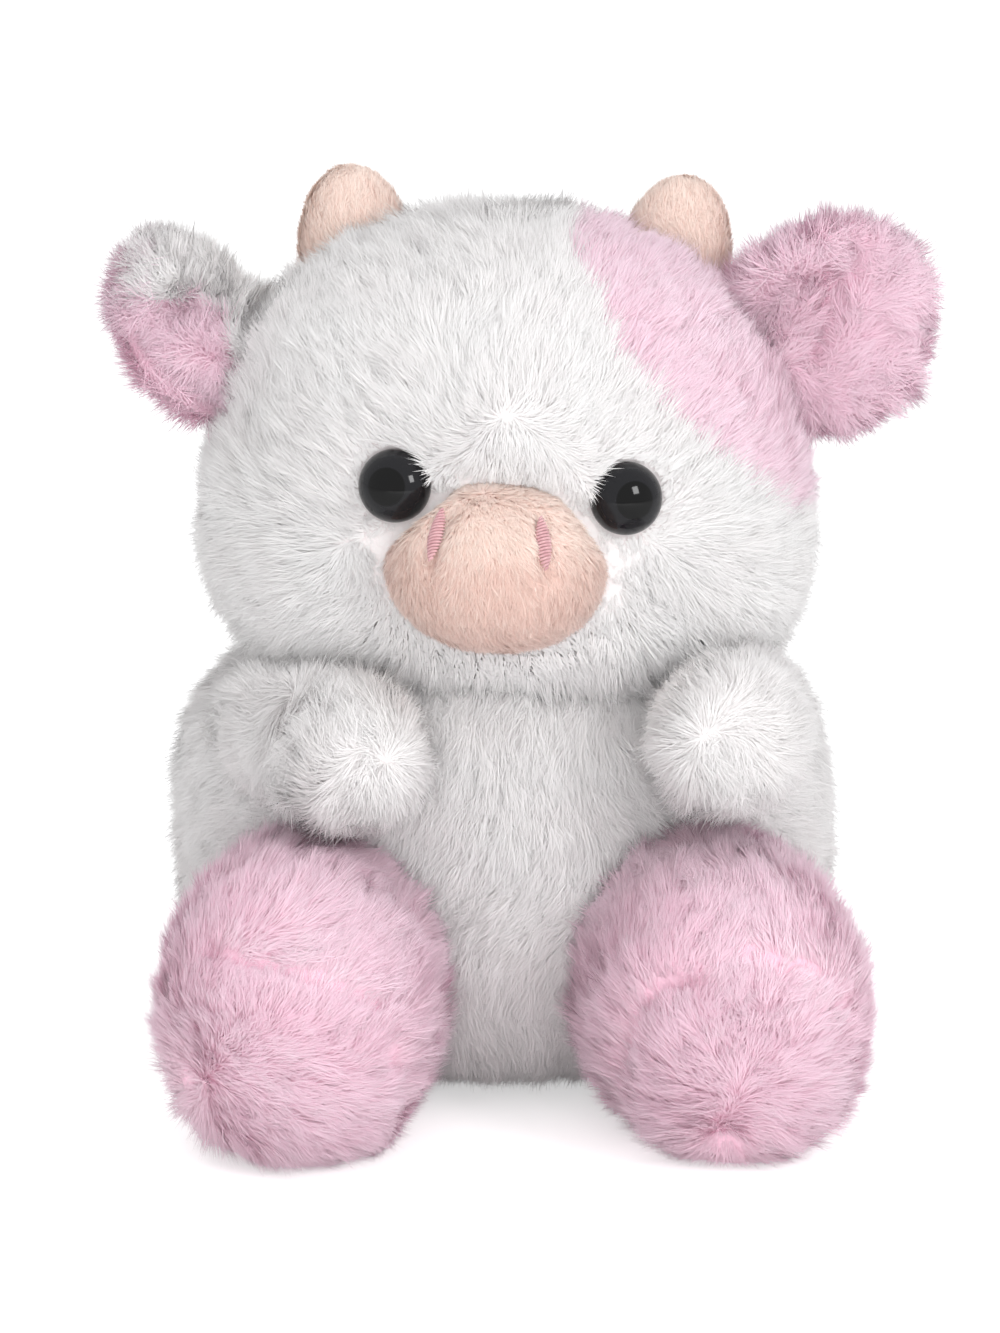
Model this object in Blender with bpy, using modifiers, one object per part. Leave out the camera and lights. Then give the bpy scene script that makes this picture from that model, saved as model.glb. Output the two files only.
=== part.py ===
"""A stuffed plush cow that sits up, built from its sewn skins, its fillings and its eyes.

Metres, +Z up. The cow faces -Y, and left and right are its own, so its left side is at +X.
The origin is the middle of the flat base that it sits on.
"""

import math
from dataclasses import dataclass, replace

import bmesh
import bpy
from mathutils import Matrix, Vector

# Fabric and clearances
wall = 0.003  # backing cloth and its packed pile
short_wall = 0.002  # the same on the short pile of the muzzle and horns
seat_gap = 0.0003  # between pieces that stay together
swing_gap = 0.0008  # between pieces that move past each other
facet_slack = 0.0016  # how far a plainer form's flats lie inside the finer one's
floor_cut = 0.0005  # how far the torso is pressed flat
foot_cut = 0.0013  # how far each foot is pressed flat
overrun = 0.004  # how far a cutter runs past what it cuts

# Torso
torso_half_width = 0.0655
torso_half_depth = 0.052
torso_widest_height = 0.052
torso_rise = 0.040
torso_blunt_above = 3.2
torso_blunt_below = 2.6
seat_panel_height = 0.007

# Pouch of pellets in the seat
pouch_half_width = 0.026
pouch_half_depth = 0.024
pouch_half_height = 0.011
pouch_setback = 0.006
pouch_lift = 0.004

# Neck and head
neck_radius = 0.017
neck_aside = 0.0008
neck_forward = 0.002
neck_sink = 0.002
head_half_width = 0.0605
head_half_depth = 0.046
head_rise = 0.065
head_drop = 0.025
head_above_neck = 0.023
head_forward = 0.004
head_blunt_above = 2.3
head_blunt_below = 3.0
head_roll = math.radians(3.2)
head_gap = 0.0036  # room between the head and the torso to nod and to turn

# Pink panel on the left of the head, bounded by where an oval ball meets the head
patch_half_width = 0.057
patch_half_depth = 0.050
patch_aside = 0.061
patch_forward = 0.009
patch_above_neck = 0.089

# Muzzle and its two stitched nostrils
muzzle_half_width = 0.0215
muzzle_half_depth = 0.0205
muzzle_half_height = 0.0164
muzzle_sink = 0.0018
muzzle_up = math.radians(2)
muzzle_around = math.radians(-2)
muzzle_turn = math.radians(5)
muzzle_blunt = 2.2
nostril_length = 0.0105
nostril_width = 0.0030
nostril_proud = 0.0007
nostril_around = math.radians(33)
nostril_up = math.radians(33)
nostril_tilt = math.radians(8)

# Eyes with their shanks and washers
eye_radius = 0.0074
eye_dome = 0.0060
eye_rim = 0.0012
eye_around = math.radians(23)
eye_up = math.radians(13)
shank_radius = 0.0020
shank_end = 0.0016
washer_radius = 0.0058
washer_thickness = 0.0012
washer_bow = 0.0005

# Horns
horn_half_width = 0.0115
horn_half_depth = 0.0105
horn_rise = 0.022
horn_drop = 0.014
horn_sink = 0.004
horn_spacing = 0.0645
horns_aside = -0.0012
horn_behind = 0.012
horn_lean = math.radians(8)

# Ears
ear_half_width = 0.0195
ear_half_thickness = 0.0075
ear_half_length = 0.022
ear_centre = {"left": 0.017, "right": 0.014}
ear_root_radius = 0.0075
ear_sink = 0.003
ear_cup = 0.009
ear_around = math.radians(102)
ear_up = {"left": math.radians(34), "right": math.radians(26)}
ear_lift = {"left": math.radians(34), "right": math.radians(38)}
ear_roll = {"left": math.radians(-12), "right": math.radians(104)}
ear_flap = math.radians(20)

# Arms
arm_half_width = 0.0125
arm_half_height = 0.0130
paw_centre = 0.040
paw_reach = 0.0155
paw_blunt = 2.3
arm_blunt = 3.2
shoulder_radius = 0.0120
shoulder_around = math.radians(60)
shoulder_up = math.radians(33)
shoulder_sink = 0.0025
arm_mouth_radius = 0.0055
arm_inward = {"left": math.radians(7), "right": math.radians(27)}
arm_rise = {"left": math.radians(9), "right": math.radians(2)}
arm_swing_in = {"left": math.radians(12), "right": math.radians(3)}
arm_swing_out = math.radians(32)

# Legs
foot_half_width = 0.0256
foot_half_height = 0.0303
foot_centre = 0.0375
foot_reach = 0.029
foot_blunt = 2.25
leg_blunt = 3.2
hip_radius = 0.020
hip_spacing = 0.073
hip_sink = 0.012
leg_mouth_radius = 0.009
leg_splay = {"left": math.radians(13), "right": math.radians(7)}
leg_swing_in = math.radians(8)
leg_swing_out = math.radians(15)
sole_seam_tilt = math.radians(51)
sole_seam_back = 0.008

# Tail
tail_root_radius = 0.005
tail_half_thickness = 0.0032
tail_length = 0.030
tail_hang = math.radians(22)
tail_up = math.radians(-10)
tail_sway = math.radians(25)
tuft_half_thickness = 0.0068
tuft_half_length = 0.0095

sides = {"left": 1, "right": -1}
ball_segments, ball_rings = 12, 6
neck_segments, neck_rings = 16, 8
inner_segments, inner_rings = 6, 4
keepout_segments, keepout_rings = 8, 6
eye_steps, rod_segments = 16, 12

white_fur = (0.93, 0.92, 0.91)
pink_fur = (0.93, 0.62, 0.75)
peach_pile = (0.90, 0.67, 0.58)
filling_white = (0.88, 0.88, 0.86)


@dataclass(frozen=True)
class SoftForm:
    """A stuffed form: level ovals that shrink from the widest one to a rounded end each way.

    rise and drop reach from the widest oval to the two ends, and a bluntness over 2 fills an
    end out. cup bends the form's two sides forward, towards -Y.
    """

    half_width: float
    half_depth: float
    rise: float
    drop: float
    blunt_above: float = 2.0
    blunt_below: float = 2.0
    cup: float = 0.0
    segments: int = 12
    rings: int = 8

    def oval(self, latitude):
        """The height of the oval at a latitude, and its share of the widest one."""
        above = latitude >= 0
        power = 2 / (self.blunt_above if above else self.blunt_below)
        reach = self.rise if above else -self.drop
        return reach * abs(math.sin(latitude)) ** power, abs(math.cos(latitude)) ** power

    def point(self, around, up):
        """The surface point at an angle around from -Y towards +X, and at a latitude."""
        height, share = self.oval(up)
        across = self.half_width * share * math.sin(around)
        forward = self.half_depth * share * math.cos(around)
        bend = self.cup * (across / self.half_width) ** 2
        return Vector((across, -forward - bend, height))

    def outward(self, around, up):
        """The unit vector straight out of the surface, from its slopes over a small angle."""
        step = math.radians(1)
        along = self.point(around + step, up) - self.point(around - step, up)
        upward = self.point(around, up + step) - self.point(around, up - step)
        return along.cross(upward).normalized()

    def front(self, across, height):
        """How far the surface stands towards -Y at a distance across and a height."""
        above = height >= 0
        blunt = self.blunt_above if above else self.blunt_below
        reach = self.rise if above else self.drop
        share = (1 - (abs(height) / reach) ** blunt) ** (1 / blunt)
        return self.half_depth * math.sqrt(share**2 - (across / self.half_width) ** 2)

    def inner(self):
        """The same form with a coarser cage, for what lies inside a skin."""
        return replace(self, segments=inner_segments, rings=inner_rings)

    def top(self, across, behind):
        """How high the surface stands at a distance across and behind the middle."""
        share = math.hypot(across / self.half_width, behind / self.half_depth)
        return self.rise * (1 - share**self.blunt_above) ** (1 / self.blunt_above)

    def plainer(self):
        """The same form with a coarser cage, for what others keep clear of."""
        return replace(self, segments=keepout_segments, rings=keepout_rings)

    def cage(self):
        """A coarse cage around the form, larger by what one level of smoothing takes off."""
        end_share = (3 + math.cos(math.pi / self.rings)) / 4
        side_share = end_share * (3 + math.cos(math.tau / self.segments)) / 4
        cage = bmesh.new()
        bmesh.ops.create_uvsphere(cage, u_segments=self.segments, v_segments=self.rings, radius=1)
        for vertex in cage.verts:
            up = math.asin(max(-1, min(1, vertex.co.z)))
            spot = self.point(math.atan2(vertex.co.x, -vertex.co.y), up)
            vertex.co = (spot.x / side_share, spot.y / side_share, spot.z / end_share)
        return cage


@dataclass(frozen=True)
class Pivot:
    """The empty that a moving body hangs from, and its frame in the world."""

    empty: bpy.types.Object
    frame: Matrix


@dataclass(frozen=True)
class Workshop:
    """The two collections: the cow's pieces, and the cutters that shape them."""

    pieces: bpy.types.Collection
    cutters: bpy.types.Collection

    def pivot(self, name, frame, parent=None):
        """An empty at a joint, under the joint that carries it."""
        empty = bpy.data.objects.new(name, None)
        empty.empty_display_size = seat_gap
        self.cutters.objects.link(empty)
        place(empty, frame, parent)
        return Pivot(empty, frame)

    def cutter(self, name, mesh, frame, parent=None):
        """A hidden helper that a Boolean uses."""
        item = put(self.cutters, name, mesh, frame, parent)
        item.hide_render = True
        item.display_type = "WIRE"
        return item

    def piece(self, name, mesh, frame, parent=None, finish=None):
        """A piece of the cow, with its own material."""
        item = put(self.pieces, name, mesh, frame, parent)
        item.data.materials.append(material(name, *finish))
        item.data.shade_smooth()
        return item


def place(item, frame, parent=None):
    """Sets an object's place in the world, under its parent."""
    item.parent = parent.empty if parent else None
    item.matrix_basis = (parent.frame.inverted() @ frame) if parent else frame


def put(group, name, mesh, frame, parent=None):
    """Makes an object from a bmesh and places it."""
    data = bpy.data.meshes.new(name)
    mesh.to_mesh(data)
    mesh.free()
    item = bpy.data.objects.new(name, data)
    group.objects.link(item)
    place(item, frame, parent)
    return item


def material(name, colour, roughness):
    """A plain material for one piece."""
    made = bpy.data.materials.new(name)
    made.use_nodes = True
    shader = made.node_tree.nodes["Principled BSDF"]
    shader.inputs["Base Color"].default_value = (*colour, 1)
    shader.inputs["Roughness"].default_value = roughness
    shader.inputs["Metallic"].default_value = 0
    return made


def soften(item, inset=0.0):
    """Smooths a cage one level, then draws its surface in by a distance and fixes its flats."""
    smooth = item.modifiers.new("smooth", "SUBSURF")
    smooth.levels = 1
    smooth.render_levels = 1
    if inset:
        shrink = item.modifiers.new("inset", "DISPLACE")
        shrink.mid_level = 0
        shrink.strength = -inset
    flats = item.modifiers.new("flats", "TRIANGULATE")
    flats.quad_method = "FIXED"
    return item


def combine(item, operation, *others):
    """Cuts, joins or keeps what an object shares with others, one after another."""
    for other in others:
        step = item.modifiers.new(f"{operation.lower()} {other.name}", "BOOLEAN")
        step.operation = operation
        step.solver = "EXACT"
        step.object = other
    return item


def cut(item, *others):
    """Takes the others away from an object."""
    return combine(item, "DIFFERENCE", *others)


def join(item, *others):
    """Adds the others to an object."""
    return combine(item, "UNION", *others)


def keep(item, *others):
    """Keeps only what an object shares with the others."""
    return combine(item, "INTERSECT", *others)


def ball(radius, segments=ball_segments, rings=ball_rings):
    """A ball with its poles on Z."""
    made = bmesh.new()
    bmesh.ops.create_uvsphere(made, u_segments=segments, v_segments=rings, radius=radius)
    return made


def socket(radius):
    """The hollow that a ball of this radius turns in about its poles, clear of it at its flats."""
    return ball((radius + seat_gap) / math.cos(math.pi / ball_segments))


def rod(radius, length):
    """A capped cylinder along Z, with its middle at the origin."""
    made = bmesh.new()
    bmesh.ops.create_cone(
        made, cap_ends=True, segments=rod_segments, radius1=radius, radius2=radius, depth=length
    )
    return made


def box(width, depth, height):
    """A box with its middle at the origin."""
    made = bmesh.new()
    bmesh.ops.create_cube(made, size=1, matrix=Matrix.Diagonal((width, depth, height, 1)))
    return made


def turned(centre, *turns):
    """The frame that turns the world about a point by each (angle, axis), first one first."""
    frame = Matrix.Translation(-centre)
    for angle, axis in turns:
        frame = Matrix.Rotation(angle, 4, axis) @ frame
    return Matrix.Translation(centre) @ frame


def along(direction):
    """The frame at the origin whose Z runs along a direction and whose X stays level."""
    level = Vector((0, 0, 1)).cross(direction).normalized()
    return Matrix((level, direction.cross(level), direction)).transposed().to_4x4()


def at(*place_of):
    """The frame moved to a place."""
    return Matrix.Translation(place_of)


class Torso:
    """The body that the cow sits on, with a socket for each part that moves on it."""

    form = SoftForm(
        torso_half_width,
        torso_half_depth,
        torso_rise,
        torso_widest_height + floor_cut,
        torso_blunt_above,
        torso_blunt_below,
        segments=12,
        rings=6,
    )
    frame = at(0, 0, torso_widest_height)
    top = torso_widest_height + torso_rise

    def __init__(self, shop):
        self.shop = shop
        self.sockets = []

    def hollow(self, name):
        """The room inside the torso's skin."""
        return soften(self.shop.cutter(name, self.form.plainer().cage(), self.frame), wall)

    def keepout(self, name, gap, seen=Matrix()):
        """The torso with a gap all round, from a body that has turned."""
        cutter = self.shop.cutter(name, self.form.plainer().cage(), seen @ self.frame)
        return soften(cutter, -gap - facet_slack)

    def build(self):
        """The skin above the seat seam, the seat panel, the filling and the pellet pouch."""
        hollow = self.hollow("torso_hollow")
        width = 2 * (torso_half_width + overrun)
        depth = 2 * (torso_half_depth + overrun)
        height = self.top + overrun
        floor = self.shop.cutter("floor", box(width, depth, height), at(0, 0, -height / 2))
        below = at(0, 0, seat_panel_height + seat_gap / 2 - height / 2)
        above = at(0, 0, seat_panel_height - seat_gap / 2 + height / 2)
        lower = self.shop.cutter("below_seat_seam", box(width, depth, height), below)
        upper = self.shop.cutter("above_seat_seam", box(width, depth, height), above)
        skin = self.piece("torso_skin", 0.0, white_fur)
        cut(skin, hollow, lower, *self.sockets)
        seat = self.piece("seat_panel", 0.0, white_fur)
        cut(seat, hollow, upper, floor)
        self.fill()

    def piece(self, name, inset, colour):
        """A piece with the torso's outline, drawn in by inset."""
        form = self.form.plainer() if inset > 0 else self.form
        return soften(self.shop.piece(name, form.cage(), self.frame, None, (colour, 0.95)), inset)

    def fill(self):
        """The fibre filling, hollowed over a pouch of pellets that lies on the seat."""
        form = SoftForm(pouch_half_width, pouch_half_depth, pouch_half_height, pouch_half_height)
        form = form.inner()
        frame = at(0, pouch_setback, wall + pouch_lift + pouch_half_height)
        soften(self.shop.piece("pellet_pouch", form.cage(), frame, None, (filling_white, 0.8)))
        room = soften(self.shop.cutter("pouch_room", form.cage(), frame), -seat_gap)
        under = at(0, pouch_setback, 0)
        well = self.shop.cutter("pouch_well", rod(pouch_half_depth / 2, 2 * pouch_half_height), under)
        filling = self.piece("torso_stuffing", wall + seat_gap, filling_white)
        cut(filling, room, well, *self.sockets)


class Limb:
    """A soft form on a ball root that turns in its carrier's socket about one axis."""

    def __init__(self, shop, name, frame, form, centre, radius, carrier, limits, axis):
        self.shop = shop
        self.name = name
        self.form = form
        self.radius = radius
        self.carrier = carrier
        self.limits = limits
        self.axis = axis
        self.pivot = shop.pivot(f"{name}_pivot", frame, getattr(carrier, "pivot", None))
        self.middle = frame @ at(0, 0, centre)
        hollow = shop.cutter(f"{name}_socket", socket(radius), self.upright(), self.pivot)
        carrier.sockets.append(hollow)

    def upright(self):
        """A frame at the root with Z on the joint's axis, so that a ball's facets turn true."""
        turn = self.axis.to_track_quat("Z", "Y").to_matrix().to_4x4()
        return Matrix.Translation(self.pivot.frame.translation) @ turn

    def solid(self, label, inset, gap, finish=None):
        """The form drawn in by inset, cut back from its carrier at both limits, on its ball."""
        name = f"{self.name}_{label}"
        cage = (self.form.inner() if inset > 0 else self.form).cage()
        if finish:
            item = self.shop.piece(name, cage, self.middle, self.pivot, finish)
        else:
            item = self.shop.cutter(name, cage, self.middle, self.pivot)
        soften(item, inset)
        for count, angle in enumerate(self.limits):
            seen = turned(self.pivot.frame.translation, (-angle, self.axis))
            cut(item, self.carrier.keepout(f"{name}_keepout_{count}", gap + inset, seen))
        root = self.shop.cutter(
            f"{name}_root", ball(self.radius - inset), self.upright(), self.pivot
        )
        return join(item, root)

    def bag(self, label, colour, mouth_radius):
        """The skin: a bag that is open only at its root."""
        skin = self.solid(label, 0.0, swing_gap, (colour, 0.95))
        hollow = self.solid(f"{label}_hollow", wall, swing_gap)
        inner_end = at(0, 0, wall / 2 - self.radius)
        mouth = self.shop.cutter(
            f"{self.name}_{label}_mouth",
            rod(mouth_radius, wall + 2 * overrun),
            self.pivot.frame @ inner_end,
            self.pivot,
        )
        return cut(skin, hollow, mouth)

    def filling(self):
        """The fibre filling inside the skin."""
        return self.solid("stuffing", wall + seat_gap, swing_gap, (filling_white, 0.95))


def build_arms(shop, torso):
    """Two stubby arms that reach forward from the shoulders."""
    form = SoftForm(
        arm_half_width,
        arm_half_height,
        paw_reach,
        paw_centre + overrun,
        paw_blunt,
        arm_blunt,
        segments=8,
        rings=6,
    )
    for side, sign in sides.items():
        around = sign * shoulder_around
        seat = torso.frame @ torso.form.point(around, shoulder_up)
        root = seat - shoulder_sink * torso.form.outward(around, shoulder_up)
        swing = Matrix.Rotation(-sign * arm_inward[side], 4, "Z")
        lie = Matrix.Rotation(math.pi / 2 - arm_rise[side], 4, "X")
        arm = Limb(
            shop,
            f"arm_{side}",
            Matrix.Translation(root) @ swing @ lie,
            form,
            paw_centre,
            shoulder_radius,
            torso,
            (-arm_swing_in[side], arm_swing_out),
            Vector((0, 0, sign)),
        )
        arm.bag("skin", white_fur, arm_mouth_radius)
        arm.filling()


def build_legs(shop, torso):
    """Two thick legs whose rounded feet lie on the floor in front of the torso."""
    form = SoftForm(
        foot_half_width,
        foot_half_height,
        foot_reach,
        foot_centre + overrun,
        foot_blunt,
        leg_blunt,
        segments=10,
        rings=6,
    )
    hip_height = foot_half_height - foot_cut
    hip_depth = torso.form.front(hip_spacing / 2, hip_height - torso_widest_height) - hip_sink
    reach = 2 * (foot_centre + foot_reach)
    for side, sign in sides.items():
        splay = Matrix.Rotation(sign * leg_splay[side], 4, "Z")
        lie = Matrix.Rotation(math.pi / 2, 4, "X")
        root = at(sign * hip_spacing / 2, -hip_depth, hip_height)
        leg = Limb(
            shop,
            f"leg_{side}",
            root @ splay @ lie,
            form,
            foot_centre,
            hip_radius,
            torso,
            (-leg_swing_in, leg_swing_out),
            Vector((0, 0, sign)),
        )
        seam = leg.middle @ at(0, -hip_height, -sole_seam_back)
        seam = seam @ Matrix.Rotation(-sole_seam_tilt, 4, "X")
        ground = Matrix.Translation(leg.middle.translation) @ at(0, 0, -hip_height - reach / 2)
        floor = shop.cutter(f"leg_{side}_floor", box(reach, reach, reach), ground, leg.pivot)
        for label, way in (("skin", -1), ("sole", 1)):
            half = box(2 * reach, reach, 2 * reach)
            gap = way * (reach - seat_gap) / 2
            cutter = shop.cutter(f"leg_{side}_off_{label}", half, seam @ at(0, gap, 0), leg.pivot)
            cut(leg.bag(label, pink_fur, leg_mouth_radius), cutter, floor)
        leg.filling()


def build_tail(shop, torso):
    """A short tail that hangs from the back, with a tuft at its end."""
    half = tail_length / 2
    form = SoftForm(
        tail_half_thickness, tail_half_thickness, half, half, 3.0, 3.0, segments=6, rings=5
    )
    seat = torso.frame @ torso.form.point(math.pi, tail_up)
    hang = Matrix.Rotation(math.pi + tail_hang, 4, "X")
    tail = Limb(
        shop,
        "tail",
        Matrix.Translation(seat) @ hang,
        form,
        half,
        tail_root_radius,
        torso,
        (-tail_sway, tail_sway),
        Vector((0, 1, 0)),
    )
    cord = tail.solid("cord", 0.0, swing_gap, (white_fur, 0.95))
    tuft_form = SoftForm(
        tuft_half_thickness,
        tuft_half_thickness,
        tuft_half_length,
        tuft_half_length,
        2.4,
        2.0,
        segments=8,
        rings=5,
    )
    end = tail.pivot.frame @ at(0, 0, tail_length)
    tuft = soften(shop.piece("tail_tuft", tuft_form.cage(), end, tail.pivot, (pink_fur, 0.95)))
    room = soften(
        shop.cutter("tail_cord_room", form.cage(), tail.middle, tail.pivot), -seat_gap
    )
    cut(tuft, room)
    return cord


class Head:
    """The head on its neck, with everything that is sewn or fastened to it."""

    form = SoftForm(
        head_half_width,
        head_half_depth,
        head_rise,
        head_drop,
        head_blunt_above,
        head_blunt_below,
        segments=12,
        rings=8,
    )

    def __init__(self, shop, torso):
        self.shop = shop
        self.torso = torso
        self.neck = Vector((-neck_aside, -neck_forward, torso.top - neck_sink))
        lean = Matrix.Rotation(head_roll, 4, "Y")
        self.pivot = shop.pivot("neck_pivot", Matrix.Translation(self.neck) @ lean)
        self.frame = self.pivot.frame @ at(0, -head_forward, head_above_neck)
        self.sockets = []
        self.pockets = []
        self.eye_rooms = []

    def keepout(self, name, gap, seen=Matrix()):
        """The head with a gap all round, from a body that has turned."""
        cutter = self.shop.cutter(name, self.form.plainer().cage(), seen @ self.frame)
        return soften(cutter, -gap - facet_slack)

    def seat(self, name):
        """The head's own surface as a cutter, for what is sewn or fastened to it."""
        return soften(self.shop.cutter(name, self.form.cage(), self.frame), -seat_gap)

    def spot(self, around, up, sink=0.0):
        """A frame on the head's surface, with Z out of it, moved in by sink."""
        out = self.form.outward(around, up)
        return self.frame @ Matrix.Translation(self.form.point(around, up) - sink * out) @ along(out)

    def outline(self, name, inset, finish=None):
        """The head drawn in by inset and clear of the torso."""
        cage = (self.form.inner() if inset > 0 else self.form).cage()
        if finish:
            item = self.shop.piece(name, cage, self.frame, self.pivot, finish)
        else:
            item = self.shop.cutter(name, cage, self.frame, self.pivot)
        keepout = self.torso.keepout(f"{name}_keepout", head_gap + inset)
        return cut(soften(item, inset), keepout)

    def build_neck(self):
        """The ball of filling that joins the torso to the head through both neck holes."""
        frame = Matrix.Translation(self.neck)
        facets = (neck_segments, neck_rings)
        filling = ball(neck_radius, *facets)
        self.shop.piece("neck_stuffing", filling, frame, None, (filling_white, 0.95))
        flat_share = math.cos(math.pi / neck_segments) ** 2
        room = ball((neck_radius + seat_gap) / flat_share, *facets)
        hollow = self.shop.cutter("neck_socket", room, frame)
        self.torso.sockets.append(hollow)
        self.sockets.append(hollow)

    def build_skins(self):
        """The white skin, the pink panel let into it, and the filling."""
        form = SoftForm(
            patch_half_width, patch_half_depth, patch_half_width, patch_half_width, segments=14, rings=9
        )
        frame = self.pivot.frame @ at(patch_aside, -patch_forward, patch_above_neck)
        hollow = self.outline("head_hollow", wall)
        for name, colour, edge, choose in (
            ("head_skin", white_fur, -seat_gap / 2, cut),
            ("head_patch", pink_fur, seat_gap / 2, keep),
        ):
            region = self.shop.cutter(f"{name}_region", form.cage(), frame, self.pivot)
            skin = self.outline(name, 0.0, (colour, 0.95))
            choose(skin, soften(region, edge))
            cut(skin, hollow, *self.sockets, *self.pockets)
        filling = self.outline("head_stuffing", wall + seat_gap, (filling_white, 0.95))
        cut(filling, *self.sockets, *self.pockets)

    def build_eyes(self):
        """Domed eyes whose shanks go through the skin into locking washers."""
        seat_depth = wall + washer_bow
        shank_length = seat_depth + washer_thickness + shank_end
        for side, sign in sides.items():
            name = f"eye_{side}"
            frame = self.spot(sign * eye_around, eye_up)
            eye = self.shop.piece(name, eye_profile(), frame, self.pivot, ((0.01, 0.01, 0.01), 0.08))
            turn = eye.modifiers.new("turn", "SCREW")
            turn.steps = eye_steps
            turn.render_steps = eye_steps
            turn.use_merge_vertices = True
            turn.merge_threshold = 0.00001
            cut(eye, self.seat(f"{name}_seat"))
            length = shank_length + eye_rim
            middle = frame @ at(0, 0, eye_rim - length / 2)
            join(eye, self.shop.cutter(f"{name}_shank", rod(shank_radius, length), middle, self.pivot))
            washer_frame = frame @ at(0, 0, -seat_depth - washer_thickness / 2)
            hole_radius = shank_radius + seat_gap
            washer = self.shop.piece(
                f"eye_washer_{side}",
                rod(washer_radius, washer_thickness),
                washer_frame,
                self.pivot,
                ((0.85, 0.85, 0.85), 0.5),
            )
            bore = rod(hole_radius, 2 * (shank_length + overrun))
            cut(washer, self.shop.cutter(f"{name}_bore", bore, frame, self.pivot))
            pocket_length = washer_thickness + 2 * seat_gap + shank_end
            pocket_frame = frame @ at(0, 0, seat_gap - seat_depth - pocket_length / 2)
            pocket = rod(washer_radius + seat_gap, pocket_length)
            hole = rod(hole_radius, 2 * shank_length)
            room = rod(eye_radius + seat_gap, 2 * eye_dome)
            self.pockets += [
                self.shop.cutter(f"{name}_pocket", pocket, pocket_frame, self.pivot),
                self.shop.cutter(f"{name}_hole", hole, frame, self.pivot),
            ]
            self.eye_rooms.append(self.shop.cutter(f"{name}_room", room, frame, self.pivot))

    def cap(self, name, form, frame, colour, *rooms):
        """A short-pile skin, cut back from rooms, and its filling, sewn on the head like a cap."""
        skin = soften(self.shop.piece(f"{name}_skin", form.cage(), frame, self.pivot, (colour, 0.9)))
        inside = form.inner()
        hollow = self.shop.cutter(f"{name}_hollow", inside.cage(), frame, self.pivot)
        cut(skin, soften(hollow, short_wall), self.seat(f"{name}_skin_seat"), *rooms)
        filling = self.shop.piece(
            f"{name}_stuffing", inside.cage(), frame, self.pivot, (filling_white, 0.95)
        )
        soften(filling, short_wall + seat_gap)
        cut(filling, self.seat(f"{name}_stuffing_seat"))

    def build_muzzle(self):
        """The muzzle, with a stitched slit for each nostril."""
        form = SoftForm(
            muzzle_half_width,
            muzzle_half_depth,
            muzzle_half_height,
            muzzle_half_height,
            muzzle_blunt,
            muzzle_blunt,
            segments=10,
            rings=6,
        )
        centre = self.form.point(muzzle_around, muzzle_up) + Vector((0, muzzle_sink, 0))
        frame = self.frame @ Matrix.Translation(centre) @ Matrix.Rotation(-muzzle_turn, 4, "Z")
        self.cap("muzzle", form, frame, peach_pile, *self.eye_rooms)
        slit = SoftForm(
            nostril_width / 2,
            nostril_width / 2,
            nostril_length / 2,
            nostril_length / 2,
            segments=6,
            rings=5,
        )
        for side, sign in sides.items():
            around = sign * nostril_around
            out = form.outward(around, nostril_up)
            spot = form.point(around, nostril_up) + (nostril_proud - nostril_width / 2) * out
            stand = along(out) @ Matrix.Rotation(math.pi / 2, 4, "X")
            stand = stand @ Matrix.Rotation(sign * nostril_tilt, 4, "Y")
            place_of = frame @ Matrix.Translation(spot) @ stand
            finish = ((0.75, 0.35, 0.42), 0.6)
            item = self.shop.piece(f"nostril_{side}", slit.cage(), place_of, self.pivot, finish)
            keepout = self.shop.cutter(f"nostril_{side}_keepout", form.cage(), frame, self.pivot)
            cut(soften(item), soften(keepout, -seat_gap))

    def build_horns(self):
        """Two rounded horns on top of the head."""
        form = SoftForm(
            horn_half_width, horn_half_depth, horn_rise, horn_drop, 2.2, 2.0, segments=8, rings=7
        )
        for side, sign in sides.items():
            across = sign * horn_spacing / 2 + horns_aside
            top = self.form.top(across, horn_behind)
            lean = Matrix.Rotation(sign * horn_lean, 4, "Y")
            frame = self.frame @ at(across, horn_behind, top - horn_sink) @ lean
            self.cap(f"horn_{side}", form, frame, peach_pile)

    def build_ears(self):
        """Cupped ears, each a front and a back fabric, that flap about their root seams."""
        form = SoftForm(
            ear_half_width,
            ear_half_thickness,
            ear_half_length,
            ear_half_length,
            2.2,
            2.0,
            cup=ear_cup,
            segments=8,
            rings=6,
        )
        backs = {"left": pink_fur, "right": white_fur}
        for side, sign in sides.items():
            around = sign * ear_around
            out = self.form.outward(around, ear_up[side])
            spot = self.form.point(around, ear_up[side]) - ear_sink * out
            lift = Matrix.Rotation(sign * (math.pi / 2 - ear_lift[side]), 4, "Y")
            roll = Matrix.Rotation(-ear_roll[side], 4, "Z")
            frame = self.frame @ Matrix.Translation(spot) @ lift @ roll
            ear = Limb(
                self.shop,
                f"ear_{side}",
                frame,
                form,
                ear_centre[side],
                ear_root_radius,
                self,
                (-ear_flap, ear_flap),
                frame.col[0].to_3d(),
            )
            for label, way, colour in (("front", -1, pink_fur), ("back", 1, backs[side])):
                half = ear.solid(label, 0.0, swing_gap, (colour, 0.95))
                slab = self.shop.cutter(
                    f"ear_{side}_{label}_half", cupped_slab(way), ear.middle, ear.pivot
                )
                keep(half, slab)


def eye_profile():
    """The eye's outline at +X: from the crown down the dome to its rim, then under it."""
    steps = eye_steps // 4
    outline = bmesh.new()
    spots = [
        (eye_radius * math.sin(turn), eye_dome * math.cos(turn))
        for turn in (math.pi / 2 * step / steps for step in range(steps + 1))
    ]
    spots += [(eye_radius, -eye_rim), (0, -eye_rim)]
    line = [outline.verts.new((across, 0, height)) for across, height in spots]
    for first, second in zip(line, line[1:]):
        outline.edges.new((first, second))
    return outline


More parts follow.
